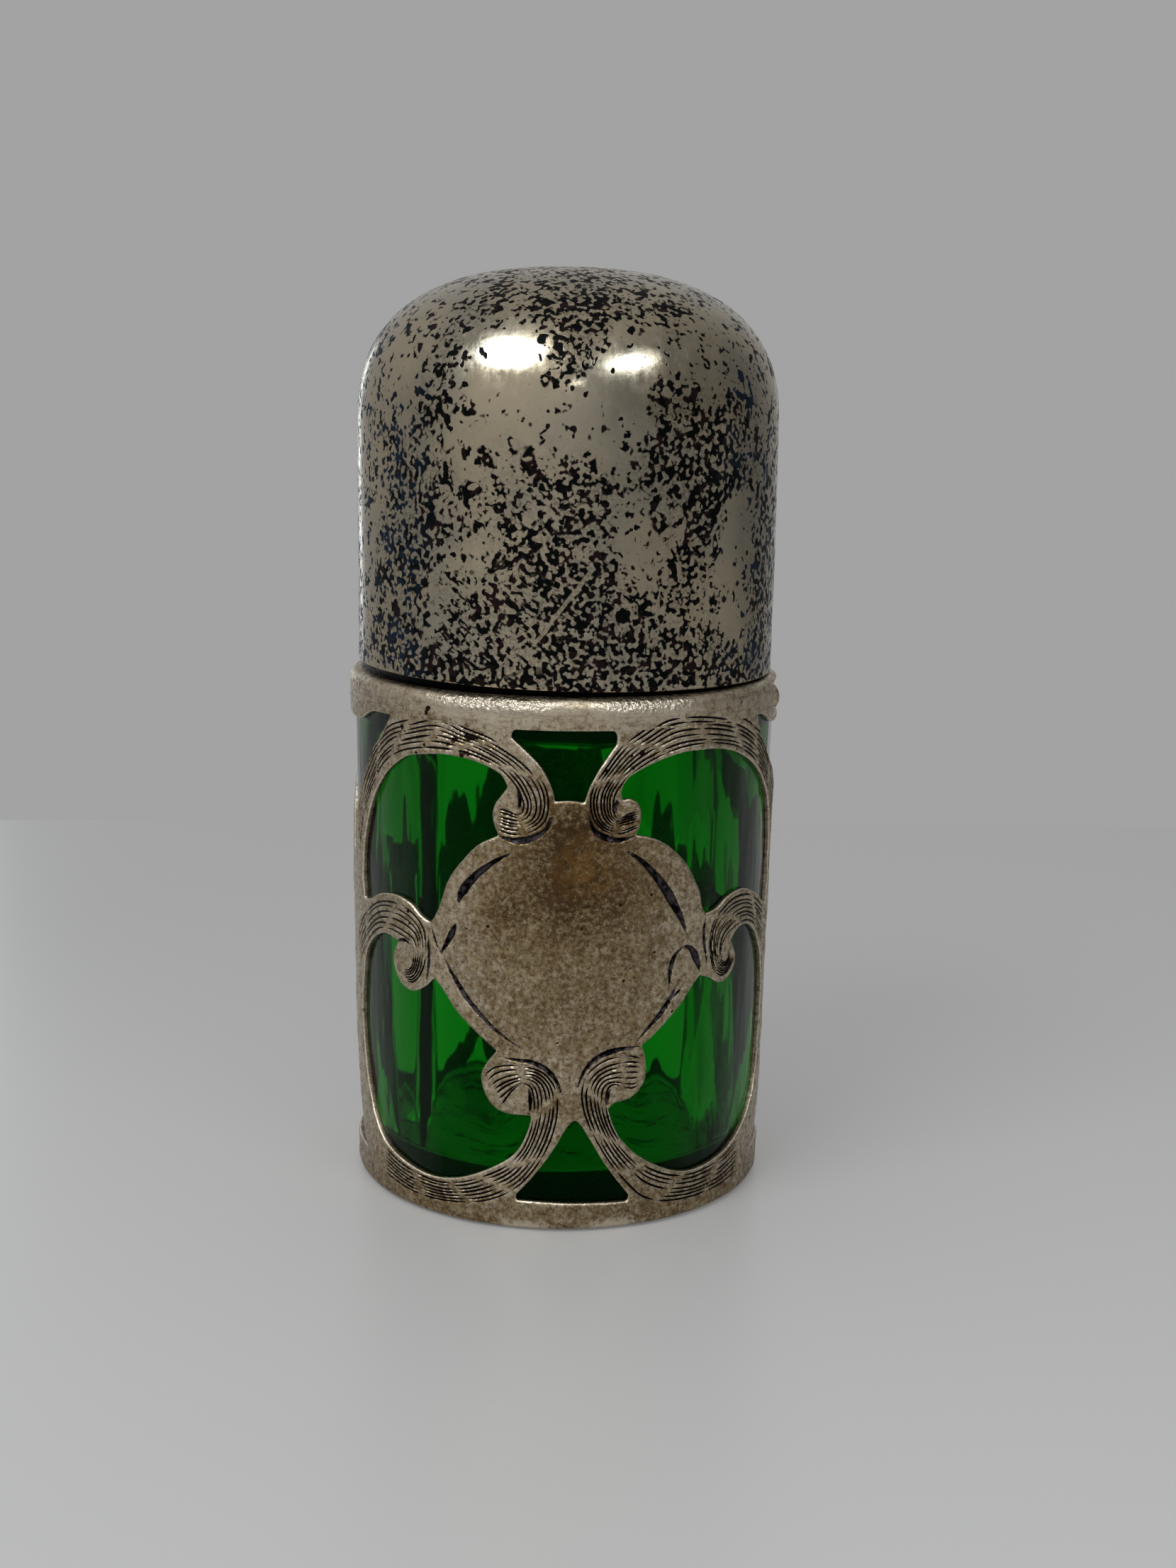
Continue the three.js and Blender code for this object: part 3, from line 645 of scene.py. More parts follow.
def flask_profile():
    """Corners of the flask from the axis under the base, up the outside, and down the inside."""
    outer_foot, outer_top = (body_radius(z) - SHEET_WALL - 0.01 for z in (0.4, 30.4))
    lip_radius = NECK_RADIUS + LIP_OVERHANG
    return round_corners([
        (0, 0.25), (10.6, 0.2, 0.3), (11.1, 0, 0.15), (12.1, 0, 0.15), (outer_foot, 0.6, 0.25),
        (outer_top, SHOULDER_TOP, 0.3), (NECK_RADIUS + 1.2, SHOULDER_TOP + 0.05, 0.6),
        (NECK_RADIUS, 31.7, 0.4), (NECK_RADIUS, 37.4, 0.5), (lip_radius, 38.0, 0.3),
        (lip_radius, NECK_TOP, 0.35), (BORE_RADIUS, NECK_TOP, 0.15), (3.0, 30.3, 0.3),
        (CAVITY_RADIUS, CAVITY_TOP, 0.5), (CAVITY_RADIUS, CAVITY_FLOOR, 0.5), (0, CAVITY_FLOOR)], steps=9)


def uneven_wall(angle, radius, z):
    """The cavity's wall waves in and out along upright ridges, which lean slightly: a sum of sines round the
    axis, stronger on the left. It fades out at the floor and ceiling and leaves the outside alone."""
    ridges = sum(depth * np.sin(count * angle + phase + lean * z)
                 for depth, count, phase, lean in WALL_RIDGES)
    ridges = ridges * (0.62 - 0.28 * np.sin(angle))
    inside = (radius > CAVITY_RADIUS - 1) & (radius < CAVITY_RADIUS + 0.2) & (z < 30)
    fade = np.clip((z - CAVITY_FLOOR) / 3.5, 0, 1) * np.clip((CAVITY_TOP - z) / 3, 0, 1)
    return radius + np.where(inside, ridges * fade, 0), z


add_piece("glass_flask", *turn(split_long(flask_profile(), 1.0), 256, uneven_wall), "bottle", "green_glass",
          glass, ["glass_bottle"], sharp=50)

# %% [markdown]
# ## The cap
# A straight side and a full dome. A half sphere would be too high, and a flattened one too thin at the
# shoulder, so the dome's outline is a superellipse. The tarnish could be pure noise, but on the real cap it
# is dense in some places and nearly gone in others. So the mesh stores a slow pattern of patches round
# listed places, each fading with distance, and the finish breaks it up into flakes. Two patches clear the
# flakes away where the lamps' two highlights fall on the shoulder, as a painted highlight.

# %% Tarnish on the cap
BASE_TARNISH = 0.52
PATCH_STRENGTH = 0.74
# The two strongest clearings, about 51 mm up, lie under the lamps' two highlights: the flakes are cleared
# there, a painted highlight.
TARNISH_AND_HIGHLIGHT_PATCHES = [  # degrees, height, reach in mm, amount
    (-32, 53.6, 2.4, 0.2), (-20, 52.6, 2.2, 0.35), (-6, 53.4, 2.8, 0.5), (10, 53.2, 2.6, 0.45),
    (28, 53.4, 2.0, 0.3), (-30, 55.4, 2.6, 0.25), (8, 55.6, 2.8, 0.25), (-1, 51.6, 1.8, 0.35),
    (-36, 51.6, 1.9, 0.4), (-23, 50.2, 1.8, 0.35), (-12, 49.8, 1.6, 0.25), (18, 50.6, 1.3, 0.4),
    (25, 47.8, 2.2, 0.6), (26, 45.2, 1.8, 0.45), (34, 46.6, 2.6, 0.35), (40, 43.6, 2.6, 0.3),
    (47, 48.4, 2.6, 0.3), (58, 45, 3.0, 0.35), (64, 38, 4.0, 0.4), (-39, 48.6, 1.6, 0.45),
    (-60, 48.2, 3.0, 0.3), (-48, 44.8, 2.2, 0.55), (-19, 44.6, 2.0, 0.25), (-5, 44.7, 1.4, 0.4),
    (5, 44.6, 1.4, 0.35), (-1, 41.4, 2.4, 0.5), (-16, 41.3, 2.2, 0.3), (-6, 38.4, 2.3, 0.5),
    (4, 36.2, 2.6, 0.6), (9, 37.9, 2.0, 0.35), (0, 33.6, 2.6, 0.5), (-28, 33.4, 2.2, 0.45),
    (22, 34.2, 2.2, 0.45), (-50, 34.4, 2.6, 0.5), (-52, 39.6, 2.1, 0.7), (-42, 41.4, 1.8, 0.3),
    (29, 38.6, 2.0, 0.3), (32, 42.6, 2.2, 0.25), (40, 34.2, 2.6, 0.35), (-24, 36.6, 2.6, 0.4),
    (-29, 47.4, 1.9, -0.4), (-22, 48.2, 1.4, -0.25), (8, 49.2, 2.1, -0.4), (-5, 47.6, 2.2, -0.2),
    (12, 46.6, 1.6, -0.3), (33, 50.8, 1.9, -0.35), (-54, 51.4, 3.0, -0.45), (-28, 39.8, 1.6, -0.3),
    (-36, 36.4, 2.0, -0.2), (-12, 43.0, 1.3, -0.3), (19, 39.6, 2.0, -0.4), (-18.5, 51.3, 2.5, -1.7),
    (13, 51.2, 2.0, -1.5), (15, 42.4, 1.6, -0.25), (47, 40.4, 1.5, -0.9), (47.5, 36.8, 1.5, -0.9),
    (47, 43.2, 1.4, -0.7), (-68, 40.3, 1.8, -0.35), (140, 38, 6.0, 0.3), (185, 44, 5.0, 0.3),
    (230, 36, 6.0, 0.35), (160, 50, 5.0, -0.2), (255, 50, 4.0, -0.25), (105, 46, 4.0, -0.2),
    (205, 52.5, 3.5, 0.3), (120, 53, 3.0, 0.25)]


def tarnish_and_highlight_amount(degrees, z):
    """The slow pattern: more at the rim than at the shoulder, plus every patch at its distance."""
    amount = BASE_TARNISH - 0.13 * np.clip((z - 33) / 14, 0, 1) + 0.3 * np.exp(-((z - 32.8) / 0.8) ** 2)
    for middle, height, reach, more in TARNISH_AND_HIGHLIGHT_PATCHES:
        across = ((degrees - middle + 180) % 360 - 180) * math.radians(CAP_RADIUS)
        amount = amount + PATCH_STRENGTH * more * np.exp(-(across**2 + (z - height) ** 2) / reach**2)
    return amount


print("tarnish patches:", len(TARNISH_AND_HIGHLIGHT_PATCHES), "of which cleared:", sum(p[3] < 0 for p in TARNISH_AND_HIGHLIGHT_PATCHES))

# %% Cap
RIM_LIFT = 0.22
DENT_DEPTH = 0.035


def dome(radius, rise, steps=40):
    """Quarter of a superellipse from the side to the top: both coordinates follow a power of cos and sin."""
    t = np.linspace(0, math.pi / 2, steps)
    power = 2 / DOME_FULLNESS
    curve = np.stack([radius * np.cos(t) ** power, DOME_START + rise * np.sin(t) ** power], -1)
    curve[-1, 0] = 0
    return curve


def cap_profile():
    """The outside from the rim to the top, then the inside back down, with a small round at the rim. The
    two points over the rim only give the rounding its direction."""
    inner_radius, over_rim = CAP_RADIUS - CAP_WALL, 40
    rim = round_corners([(inner_radius, over_rim), (inner_radius, CAP_RIM, 0.12),
                         (CAP_RADIUS, CAP_RIM, 0.16), (CAP_RADIUS, over_rim)], steps=5)[1:-1]
    return np.concatenate([rim, dome(CAP_RADIUS, DOME_RISE), dome(inner_radius, DOME_RISE - CAP_WALL)[::-1]])


def cap_bend(angle, radius, z):
    """Slow dents a few hundredths of a millimetre deep, fading out towards the axis and the rim. The worn
    rim stands a little higher the further it is from the hinge, as a bent lid does."""
    z = z + RIM_LIFT * (1 - np.sin(angle)) * np.clip((36 - z) / (36 - CAP_RIM), 0, 1)
    dents = DENT_DEPTH * (np.sin(2 * angle + 0.6) * np.sin(z / 4.1) + 0.6 * np.sin(5 * angle + z / 3.0))
    from_axis = radius / CAP_RADIUS
    return radius - INSET * from_axis + dents * np.clip((z - CAP_RIM) / 6, 0, 1) * from_axis, z


cap_points, cap_faces = turn(split_long(cap_profile(), 0.5), 256, cap_bend)
cap_degrees, cap_heights = np.degrees(np.arctan2(cap_points[:, 0], -cap_points[:, 1])), cap_points[:, 2]
above_rim = cap_heights - CAP_RIM - RIM_LIFT * (1 - np.sin(np.radians(cap_degrees)))
dome_test = (np.hypot(*cap_points[:, :2].T) / CAP_RADIUS) ** DOME_FULLNESS  # this sum is one on the outside
dome_test = dome_test + np.clip((cap_heights - DOME_START) / DOME_RISE, 0, 1) ** DOME_FULLNESS
cap_slant = np.exp(-((cap_degrees + 23) / 17) ** 4 - ((cap_heights - 36.6) / 2.8) ** 4)
cap_tarnish_and_highlights = np.where(dome_test > 0.94, tarnish_and_highlight_amount(cap_degrees, cap_heights), 0.12)
cap_tarnish_and_highlights = cap_tarnish_and_highlights - 0.7 * np.clip(1 - above_rim / 0.3, 0, 1)
add_piece("cap_dome", cap_points, cap_faces, "cap", "tarnished_silver", cap_silver, ["cap_shell"],
          {"tarnish_and_highlights": cap_tarnish_and_highlights, "slant": cap_slant}, sharp=60)

# %% [markdown]
# ## The pierced silver sheet
# The sheet is drawn flat first, as degrees round the bottle and millimetres up, like a jeweller's pattern.
# The windows could be cut with Boolean modifiers, but the engraving has to sink into the same surface. So a
# fine grid covers the whole turn. At each grid point the distance to the nearest outline or engraved line
# is worked out, and the surface sinks where the graver cut and rounds off along every edge.

# %% Windows of one panel
PATTERN_LIFT = 0.31  # the whole pattern is drawn this much lower than it sits on the bottle
TOP = 30.42  # the windows' top, just under the collar's bead
WINDOWS = {  # degrees and height of each point; a third number marks a corner
    "neck": [
        (-14.6, 29.75, 1), (-15.4, 30.0), (-14.4, TOP - 0.05), (-10, TOP + 0.04), (5, TOP + 0.02),
        (9.5, TOP - 0.04), (10.7, 30.1), (10.7, 29.6, 1), (8.6, 28.9), (6.2, 28.05), (4.3, 27.2),
        (3.4, 26.6), (2.9, 26.2, 1), (-0.8, 26.32), (-4.4, 26.25, 1), (-5.0, 26.9), (-6.4, 27.65),
        (-8.3, 28.35), (-11, 29.0)],
    "upper_left": [
        (-16.3, 27.0, 1), (-18, 27.65), (-21, 28.05), (-25, 28.35), (-29, 28.5), (-34, 28.55), (-40, 28.4),
        (-46, 28.1), (-52, 27.3), (-57.5, 26.2), (-62, 24.9), (-66, 23.3), (-69.2, 21.6), (-70.6, 20.0),
        (-69.6, 18.2, 1), (-64.5, 18.5), (-59, 19.1), (-52, 19.4), (-46, 19.2), (-41.5, 18.55),
        (-38.4, 18.25, 1), (-36.4, 18.9), (-34.6, 19.9), (-33, 20.9), (-30.5, 21.8), (-27, 22.75),
        (-23.5, 23.5), (-18.6, 24.1, 1), (-19.6, 24.6), (-20.2, 25.2), (-19.6, 25.9), (-18, 26.45)],
    "upper_right": [
        (12.0, 26.8, 1), (13.2, 27.4), (15.5, 27.85), (19, 28.25), (24, 28.65), (30, 28.9), (37, 28.92),
        (44, 28.7), (50.5, 28.2), (57, 27.4), (63, 26.4), (69, 25.0), (73.5, 23.4), (76.6, 21.4),
        (77.2, 19.6), (75.5, 17.6, 1), (68.5, 18.3), (61, 19.2), (54, 19.75), (47.5, 19.6), (42.5, 19.05),
        (38.3, 18.85, 1), (36.9, 19.4), (36.0, 20.2), (34.5, 20.9), (31.6, 22.0), (28, 22.9), (24, 23.6),
        (20, 24.0), (16.2, 24.2, 1), (17.3, 24.8), (17.5, 25.5), (16.5, 26.1), (14.4, 26.38), (12.6, 26.35)],
    "lower_left": [
        (-50.4, 16.55, 1), (-52.2, 15.9), (-52.5, 15.1), (-50.8, 14.3), (-48, 13.8), (-44.5, 13.7),
        (-40.5, 14.15), (-37.2, 14.85, 1), (-34.6, 14.3), (-31, 13.25), (-27, 12.4), (-22.5, 11.6),
        (-18.8, 10.95, 1), (-21, 10.3), (-22.8, 9.6), (-23, 8.9), (-21.9, 8.1), (-19.5, 7.4), (-15.5, 7.05),
        (-9.5, 7.05, 1), (-10.1, 6.3), (-12, 5.2), (-14.6, 4.4), (-18.5, 3.75), (-24, 3.05), (-30, 2.5),
        (-37, 2.2), (-44, 2.3), (-51, 2.65), (-58, 3.2), (-63.5, 4.3), (-68.5, 6.2), (-72, 8.4),
        (-73.4, 10.6), (-72.2, 12.9), (-68.8, 14.8), (-63.5, 16.0), (-57, 16.7)],
    "lower_right": [
        (37, 15.05, 1), (40.5, 14.75), (44, 14.3), (47.5, 14.35), (50.6, 14.9), (51.5, 15.6), (50.2, 16.3),
        (49.0, 16.75, 1), (52, 17.3), (57, 17.35), (62, 16.8), (67, 15.7), (71.5, 14.2), (74, 12.2),
        (74.3, 10.4), (73.2, 8.2), (70.5, 6.3), (65.5, 4.9), (59, 3.85), (52, 3.1), (45, 2.75), (37, 2.6),
        (31, 2.85), (25.5, 3.4), (20.5, 4.1), (16.5, 4.9), (13, 5.95), (10.6, 7.4, 1), (12.5, 7.8),
        (16, 7.95), (18.8, 8.4), (20.6, 9.1), (21, 9.9), (20.4, 10.7), (19.4, 11.25, 1), (23, 11.85),
        (27, 12.65), (31.5, 13.65), (34.5, 14.5)],
    "foot": [
        (1.5, 6.75), (-0.4, 6.25), (-2.6, 5.3), (-5.6, 4.2), (-9.5, 3.0), (-13.4, 1.95, 1),
        (-13.3, 1.62, 1), (-5, 1.56), (5, 1.5), (16.6, 1.42, 1), (17.0, 1.8, 1), (13, 3.0), (9.5, 4.15),
        (6.6, 5.3), (3.4, 6.5)],
    "side_top": [
        (58.2, TOP - 0.05, 1), (61.5, TOP - 0.1), (65, TOP - 0.4), (69.5, 29.6), (76, 29.46), (104, 29.46),
        (110.5, 29.6), (115, TOP - 0.4), (119.5, TOP - 0.1), (127.6, TOP - 0.05, 1), (124, 29.3),
        (119, 28.2), (113.5, 26.7), (108, 24.9), (103.5, 22.8), (99.5, 20.4), (94.5, 19.4), (91, 20.6),
        (87.5, 22.9), (83, 24.6), (77.5, 25.9), (71.5, 27.0), (65.5, 28.1), (60.6, 29.3)],
    "side_foot": [
        (68, 1.8, 1), (109.5, 1.8, 1), (105.5, 3.4), (101, 5.9), (96.5, 8.2), (92.5, 9.8), (89.5, 9.8),
        (84.5, 7.6), (79, 5.2), (74, 3.2)],
}
HINGE_NOTCH = [(70.5, 29.83, 1), (109.5, 29.83, 1), (109.5, 34, 1), (70.5, 34, 1)]
print("windows in one panel:", list(WINDOWS))

# %% [markdown]
# The engraved lines run side by side along each scroll and curl into its end. They could be drawn one by
# one, but a scroll given by rungs, like a bent ladder, needs far fewer points: each rung is a pair of points
# on the scroll's two edges, and each line keeps its share of the way from one edge to the other.

# %% Scrolls of one panel
SCROLLS = {  # number of lines, then rungs of (degrees, height) on one edge and on the other
    "arch_left": (7, [
        (-77, 23.6, -71.8, 20.7), (-72, 25.5, -67.8, 23.3), (-66, 27.2, -61.5, 25.6),
        (-60, 28.7, -56, 27.1), (-53, 29.9, -50.5, 27.95), (-45, 30.5, -44, 28.5), (-36, 30.7, -36, 28.75),
        (-28, 30.4, -28.5, 28.75), (-21, 29.9, -22.5, 28.4), (-14.5, 29.1, -18, 27.85),
        (-9.5, 28.2, -15, 27.1), (-6.2, 27.2, -13.6, 26.4), (-5.2, 26.1, -13.0, 26.0),
        (-6.2, 25.0, -13.2, 25.65), (-10, 24.3, -14.2, 25.5), (-14.5, 24.1, -16.2, 25.7),
        (-18.8, 24.35, -18.8, 25.8)]),
    "arch_right": (8, [
        (16.8, 24.6, 16.8, 25.7), (12.5, 24.25, 14.2, 25.6), (8.5, 24.4, 12, 25.3),
        (5.2, 25.1, 10.9, 25.55), (4.0, 26.1, 10.6, 26.1), (4.7, 27.1, 11.2, 26.8), (7.5, 28.2, 14.0, 27.6),
        (11.5, 29.5, 18.5, 28.3), (16.5, 30.4, 24, 28.8), (23, 31.0, 29.5, 29.05), (31, 31.15, 35.5, 29.1),
        (39, 30.95, 41.5, 28.95), (47, 30.5, 47.5, 28.65), (55, 30.1, 53, 28.1), (62, 29.1, 58.5, 27.35),
        (69, 27.5, 64.5, 26.25), (76, 26.0, 71, 24.7), (82, 24.2, 77.4, 22.0)]),
    "middle_left": (6, [
        (-77, 15.8, -74.4, 13.5), (-72, 16.9, -70, 14.8), (-66.5, 17.9, -64.5, 15.9),
        (-60.5, 18.7, -59.5, 16.65), (-54.5, 19.1, -54.5, 16.85), (-49, 19.1, -50.5, 16.8),
        (-44, 18.7, -47, 16.7), (-40.7, 18.0, -45, 16.5), (-39.7, 17.0, -44.5, 16.1),
        (-39.9, 15.7, -44.9, 15.5), (-41.9, 14.7, -46, 15.1), (-45, 14.15, -47.5, 15.0),
        (-49, 14.4, -49, 15.2)]),
    "middle_right": (7, [
        (78, 17.0, 76, 14.2), (73, 17.7, 72.3, 14.7), (68, 18.15, 67, 16.0), (62.5, 18.8, 61.5, 17.05),
        (56.5, 19.4, 56, 17.5), (50, 19.5, 51, 17.4), (44.5, 19.0, 47.6, 17.1), (40.9, 18.3, 46, 16.7),
        (39.7, 17.2, 45.2, 16.25), (40.1, 16.0, 45.2, 15.9), (41.9, 15.1, 45.8, 15.6), (45, 14.6, 47, 15.6),
        (48.5, 14.85, 47.9, 15.9), (50.7, 15.55, 47.7, 16.3)]),
    "stem_left": (7, [
        (-58, 2.9, -58, 1.0), (-49, 2.35, -49, 0.75), (-42, 2.1, -42, 0.65), (-35, 2.05, -34, 0.75),
        (-28, 2.45, -25.5, 1.0), (-21.5, 3.15, -18.5, 1.5), (-16, 3.95, -12.8, 2.3),
        (-12.2, 5.0, -8.2, 3.5), (-10.1, 6.3, -4.9, 4.8), (-9.5, 7.4, -2.7, 6.2), (-9.6, 8.3, -1.9, 7.6),
        (-10.5, 8.9, -2.8, 8.9), (-12.3, 9.0, -6, 9.85), (-14.2, 8.6, -10.5, 10.2),
        (-15.6, 8.1, -15.5, 10.25), (-16.8, 7.6, -19.8, 10.0), (-17.6, 7.4, -22.5, 9.4)]),
    "stem_right": (7, [
        (58, 3.5, 58, 0.9), (49, 2.8, 49, 0.7), (42, 2.55, 42, 0.65), (35, 2.5, 34, 0.75),
        (28.5, 2.85, 27, 0.95), (23, 3.5, 20.8, 1.5), (18.8, 4.3, 16.3, 2.5), (15, 5.3, 11.6, 3.8),
        (12.3, 6.3, 8.3, 5.0), (10.9, 7.3, 5.4, 6.2), (10.6, 8.2, 3.4, 7.4), (11.2, 8.8, 2.8, 8.6),
        (12.8, 8.9, 4.4, 9.75), (14.5, 8.7, 8, 10.5), (16, 8.5, 12, 10.8), (17.5, 8.4, 16, 10.85),
        (19, 8.6, 19.6, 10.6)]),
}
print("engraved lines in one panel:", sum(count for count, rungs in SCROLLS.values()))

# %% [markdown]
# The cuts round the cartouche are single strokes that swell and taper, as a graver makes them. The pits are
# small round holes that corrosion left. The ones that stand out are placed here, and the rest are scattered
# by chance later.

# %% Cuts and pits of one panel
CUTS = [  # the widest half width in mm, where along the stroke it is, then the points
    (0.22, 0.8, [(-15, 23.1), (-19, 22.6), (-23, 21.9), (-26.5, 21.1), (-28.8, 20.3), (-29.6, 19.75)]),
    (0.16, 0.3, [(-30.2, 18.5), (-31.3, 17.9), (-33, 17.2), (-35.1, 16.45)]),
    (0.13, 0.3, [
        (-34, 16.25), (-31, 15.2), (-27.5, 14.1), (-24, 13.25), (-20, 12.4), (-16, 11.75), (-12, 11.2)]),
    (0.24, 0.6, [
        (13.8, 23.3), (17.5, 22.7), (21, 21.9), (24.5, 20.9), (27.5, 19.8), (29.8, 18.9), (31.9, 17.8)]),
    (0.2, 0.5, [(31, 17.15), (33.5, 16.85), (35.3, 16.2), (37, 15.3)]),
    (0.13, 0.4, [(30.8, 17.1), (28.4, 16.6), (27.1, 15.8), (26.9, 14.6)]),
    (0.14, 0.35, [(29.3, 14.8), (27.5, 14.0), (24.5, 13.1), (21, 12.3), (17.8, 11.5)]),
    (0.07, 0.5, [(31.3, 14.65), (29.5, 14.25), (27.6, 13.95)]),
    (0.08, 0.5, [(-39.2, 17.6), (-38.8, 16.3), (-39.1, 15.2), (-40, 14.5)]),
    (0.06, 0.4, [(-38, 18.1), (-36.5, 17.1), (-34.8, 16.4)]),
    (0.1, 0.4, [(38.2, 18.7), (37.7, 17.9), (37.9, 17.1), (38.8, 16.2), (39, 15.5)]),
    (0.17, 0.62, [(-5.0, 25.4), (-6.6, 24.6), (-10, 24.05), (-14, 23.85), (-18.4, 24.05)]),
    (0.15, 0.5, [(3.9, 25.5), (5.4, 24.6), (8.5, 24.1), (12, 23.95), (16, 24.15)]),
    (0.12, 0.4, [(-1.4, 8.4), (-3.3, 9.4), (-6, 10.05), (-9.5, 10.42), (-13, 10.5), (-18.6, 10.6)]),
    (0.14, 0.6, [(2.3, 8.7), (3.9, 9.8), (7, 10.65), (11, 11.05), (15, 11.18), (19.2, 11.2)]),
    (0.1, 0.4, [(-13.6, 26.9), (-13.1, 26.3), (-13.4, 25.6)]),
    (0.09, 0.5, [(11.3, 26.5), (10.7, 26.0), (10.6, 25.4)]),
    (0.09, 0.5, [(-10.1, 8.8), (-9.7, 8.0), (-9.8, 7.3)]),
    (0.09, 0.5, [(11.1, 8.7), (10.4, 8.2), (10.5, 7.7)]),
    (0.08, 0.5, [(-51, 16.5), (-48, 16.75), (-45, 16.5)]),
    (0.07, 0.5, [(44.2, 16.2), (45, 16.6), (46, 16.85)]),
]
PITS = [  # degrees, height, radius in mm
    (-26.8, 29.65, 0.15), (-26.0, 29.75, 0.14), (-25.2, 29.75, 0.13), (-24.4, 29.7, 0.1),
    (-31, 29.45, 0.13), (-28.8, 28.85, 0.1), (-27.8, 28.8, 0.12), (-26.8, 28.7, 0.08), (17.3, 29.05, 0.16),
    (-38.3, 31.2, 0.12), (-38.9, 31.0, 0.1), (-47.7, 29.8, 0.14), (-36, 29.5, 0.07), (14.6, 28.9, 0.08),
    (-40, 28.95, 0.1), (-38.6, 31.15, 0.13), (-39.1, 30.85, 0.11), (-30.2, 29.6, 0.13), (-27.2, 29.8, 0.15),
    (-28.6, 28.6, 0.14), (-26.8, 28.75, 0.12), (-32.6, 29.2, 0.1), (17.3, 29.05, 0.16)]
print("cuts:", len(CUTS), "placed pits:", len(PITS))

# %% [markdown]
# ### From drawing to distances
# Every curve is sampled closely. Each sample then looks only at the grid points round it and leaves there
# its distance, if no other sample was nearer. A test of every grid point against every sample would give
# the same and take minutes.

# %% The grid
SIDES = 960
CELL = CIRCUMFERENCE / SIDES
CURVE_PARTS = 16
LEDGE_FOOT, LEDGE_TOP = 30.8, 31.6  # between these heights the inner side turns in under the bead
LEDGE_RADIUS = 12.1


def sheet_profile():
    """Rows up the sheet: the outer line from the foot's underside, up the taper, over the collar's bead and
    in to its flat top, each with the point behind it on the inner line."""
    outer = round_corners([
        (12.75, SILVER_FOOT), (body_radius(0), SILVER_FOOT, 0.42), (BODY_TOP_RADIUS - 0.03, BEAD_FOOT, 0.4),
        (BODY_TOP_RADIUS, BEAD_FOOT + 0.5, 0.3), (BODY_TOP_RADIUS, BEAD_TOP, 0.85),
        (LEDGE_RADIUS, BEAD_TOP)], steps=12)
    along = np.concatenate([[0], np.cumsum(np.hypot(*np.diff(outer, axis=0).T))])
    rows = np.linspace(0, along[-1], int(along[-1] / CELL) + 1)
    r, z = np.interp(rows, along, outer[:, 0]), np.interp(rows, along, outer[:, 1])
    turns = [*np.interp([LEDGE_FOOT, LEDGE_TOP], z, rows), rows[-1]]
    wall_top = body_radius(SILVER_TOP) - SHEET_WALL
    on_wall = rows < turns[0]
    r_in = np.where(on_wall, np.minimum(body_radius(z) - SHEET_WALL, wall_top),
                    np.interp(rows, turns, [wall_top, wall_top, LEDGE_RADIUS]))
    z_in = np.where(on_wall, np.maximum(z, SILVER_FOOT),
                    np.interp(rows, turns, [LEDGE_FOOT, 31.1, LEDGE_TOP]))
    return rows, r, z, r_in, z_in


ROW, ROW_R, ROW_Z, ROW_R_IN, ROW_Z_IN = sheet_profile()
ROW_STEP = ROW[1]
COLUMN = (np.arange(SIDES) - SIDES // 2) * CELL
FLAT_X, FLAT_Y = np.meshgrid(COLUMN, ROW)
climbing = slice(0, int(np.argmax(ROW_Z > 32.2)))
print("grid of", SIDES, "by", len(ROW), "points,", round(CELL, 4), "by", round(ROW_STEP, 4), "mm")


# %% Curves on the sheet
OUTLINE_STEP = 0.025


def on_sheet(points):
    """Flat places in mm (across, up along the sheet) of points in degrees and height."""
    points = np.asarray(points, float)
    up = np.interp(points[:, 1] + PATTERN_LIFT, ROW_Z[climbing], ROW[climbing])
    return np.stack([points[:, 0] * ARC_MM, up], -1)


def smooth_curve(points):
    """A curve through all points that leaves each along the line between its neighbours (Catmull-Rom)."""
    p = np.concatenate([[2 * points[0] - points[1]], points, [2 * points[-1] - points[-2]]])
    t = (np.arange(CURVE_PARTS) / CURVE_PARTS)[None, :, None]
    a, b, c, d = (p[i:len(p) - 3 + i, None] for i in range(4))
    curve = 0.5 * (2 * b + (c - a) * t + (2 * a - 5 * b + 4 * c - d) * t**2 + (3 * b - a - 3 * c + d) * t**3)
    return np.concatenate([curve.reshape(-1, points.shape[1]), points[-1:]])


def even_steps(curve, step):
    """The same curve with points at even distances, and the distance along it of each."""
    along = np.concatenate([[0], np.cumsum(np.hypot(*np.diff(curve, axis=0).T))])
    places = np.linspace(0, along[-1], max(2, int(along[-1] / step)))
    return np.stack([np.interp(places, along, curve[:, i]) for i in (0, 1)], -1), places


def outline(points):
    """A closed outline as short steps: smooth from each marked corner to the next."""
    first = next(i for i, point in enumerate(points) if len(point) > 2)
    ring = points[first:] + points[:first + 1]
    corners = [i for i, point in enumerate(ring) if len(point) > 2]
    places = on_sheet([point[:2] for point in ring])
    parts = [even_steps(smooth_curve(places[start:end + 1]), OUTLINE_STEP)[0][:-1]
             for start, end in zip(corners[:-1], corners[1:])]
    return np.concatenate(parts + [parts[0][:1]])


window_outlines = [outline(points) for points in WINDOWS.values()]
notch = outline(HINGE_NOTCH)
half_turn = np.array([SIDES // 2 * CELL, 0])
all_outlines = np.concatenate(window_outlines + [curve + half_turn for curve in window_outlines] + [notch])
print("outline samples:", len(all_outlines))

# %% Distances on the grid
FAR = 1.0


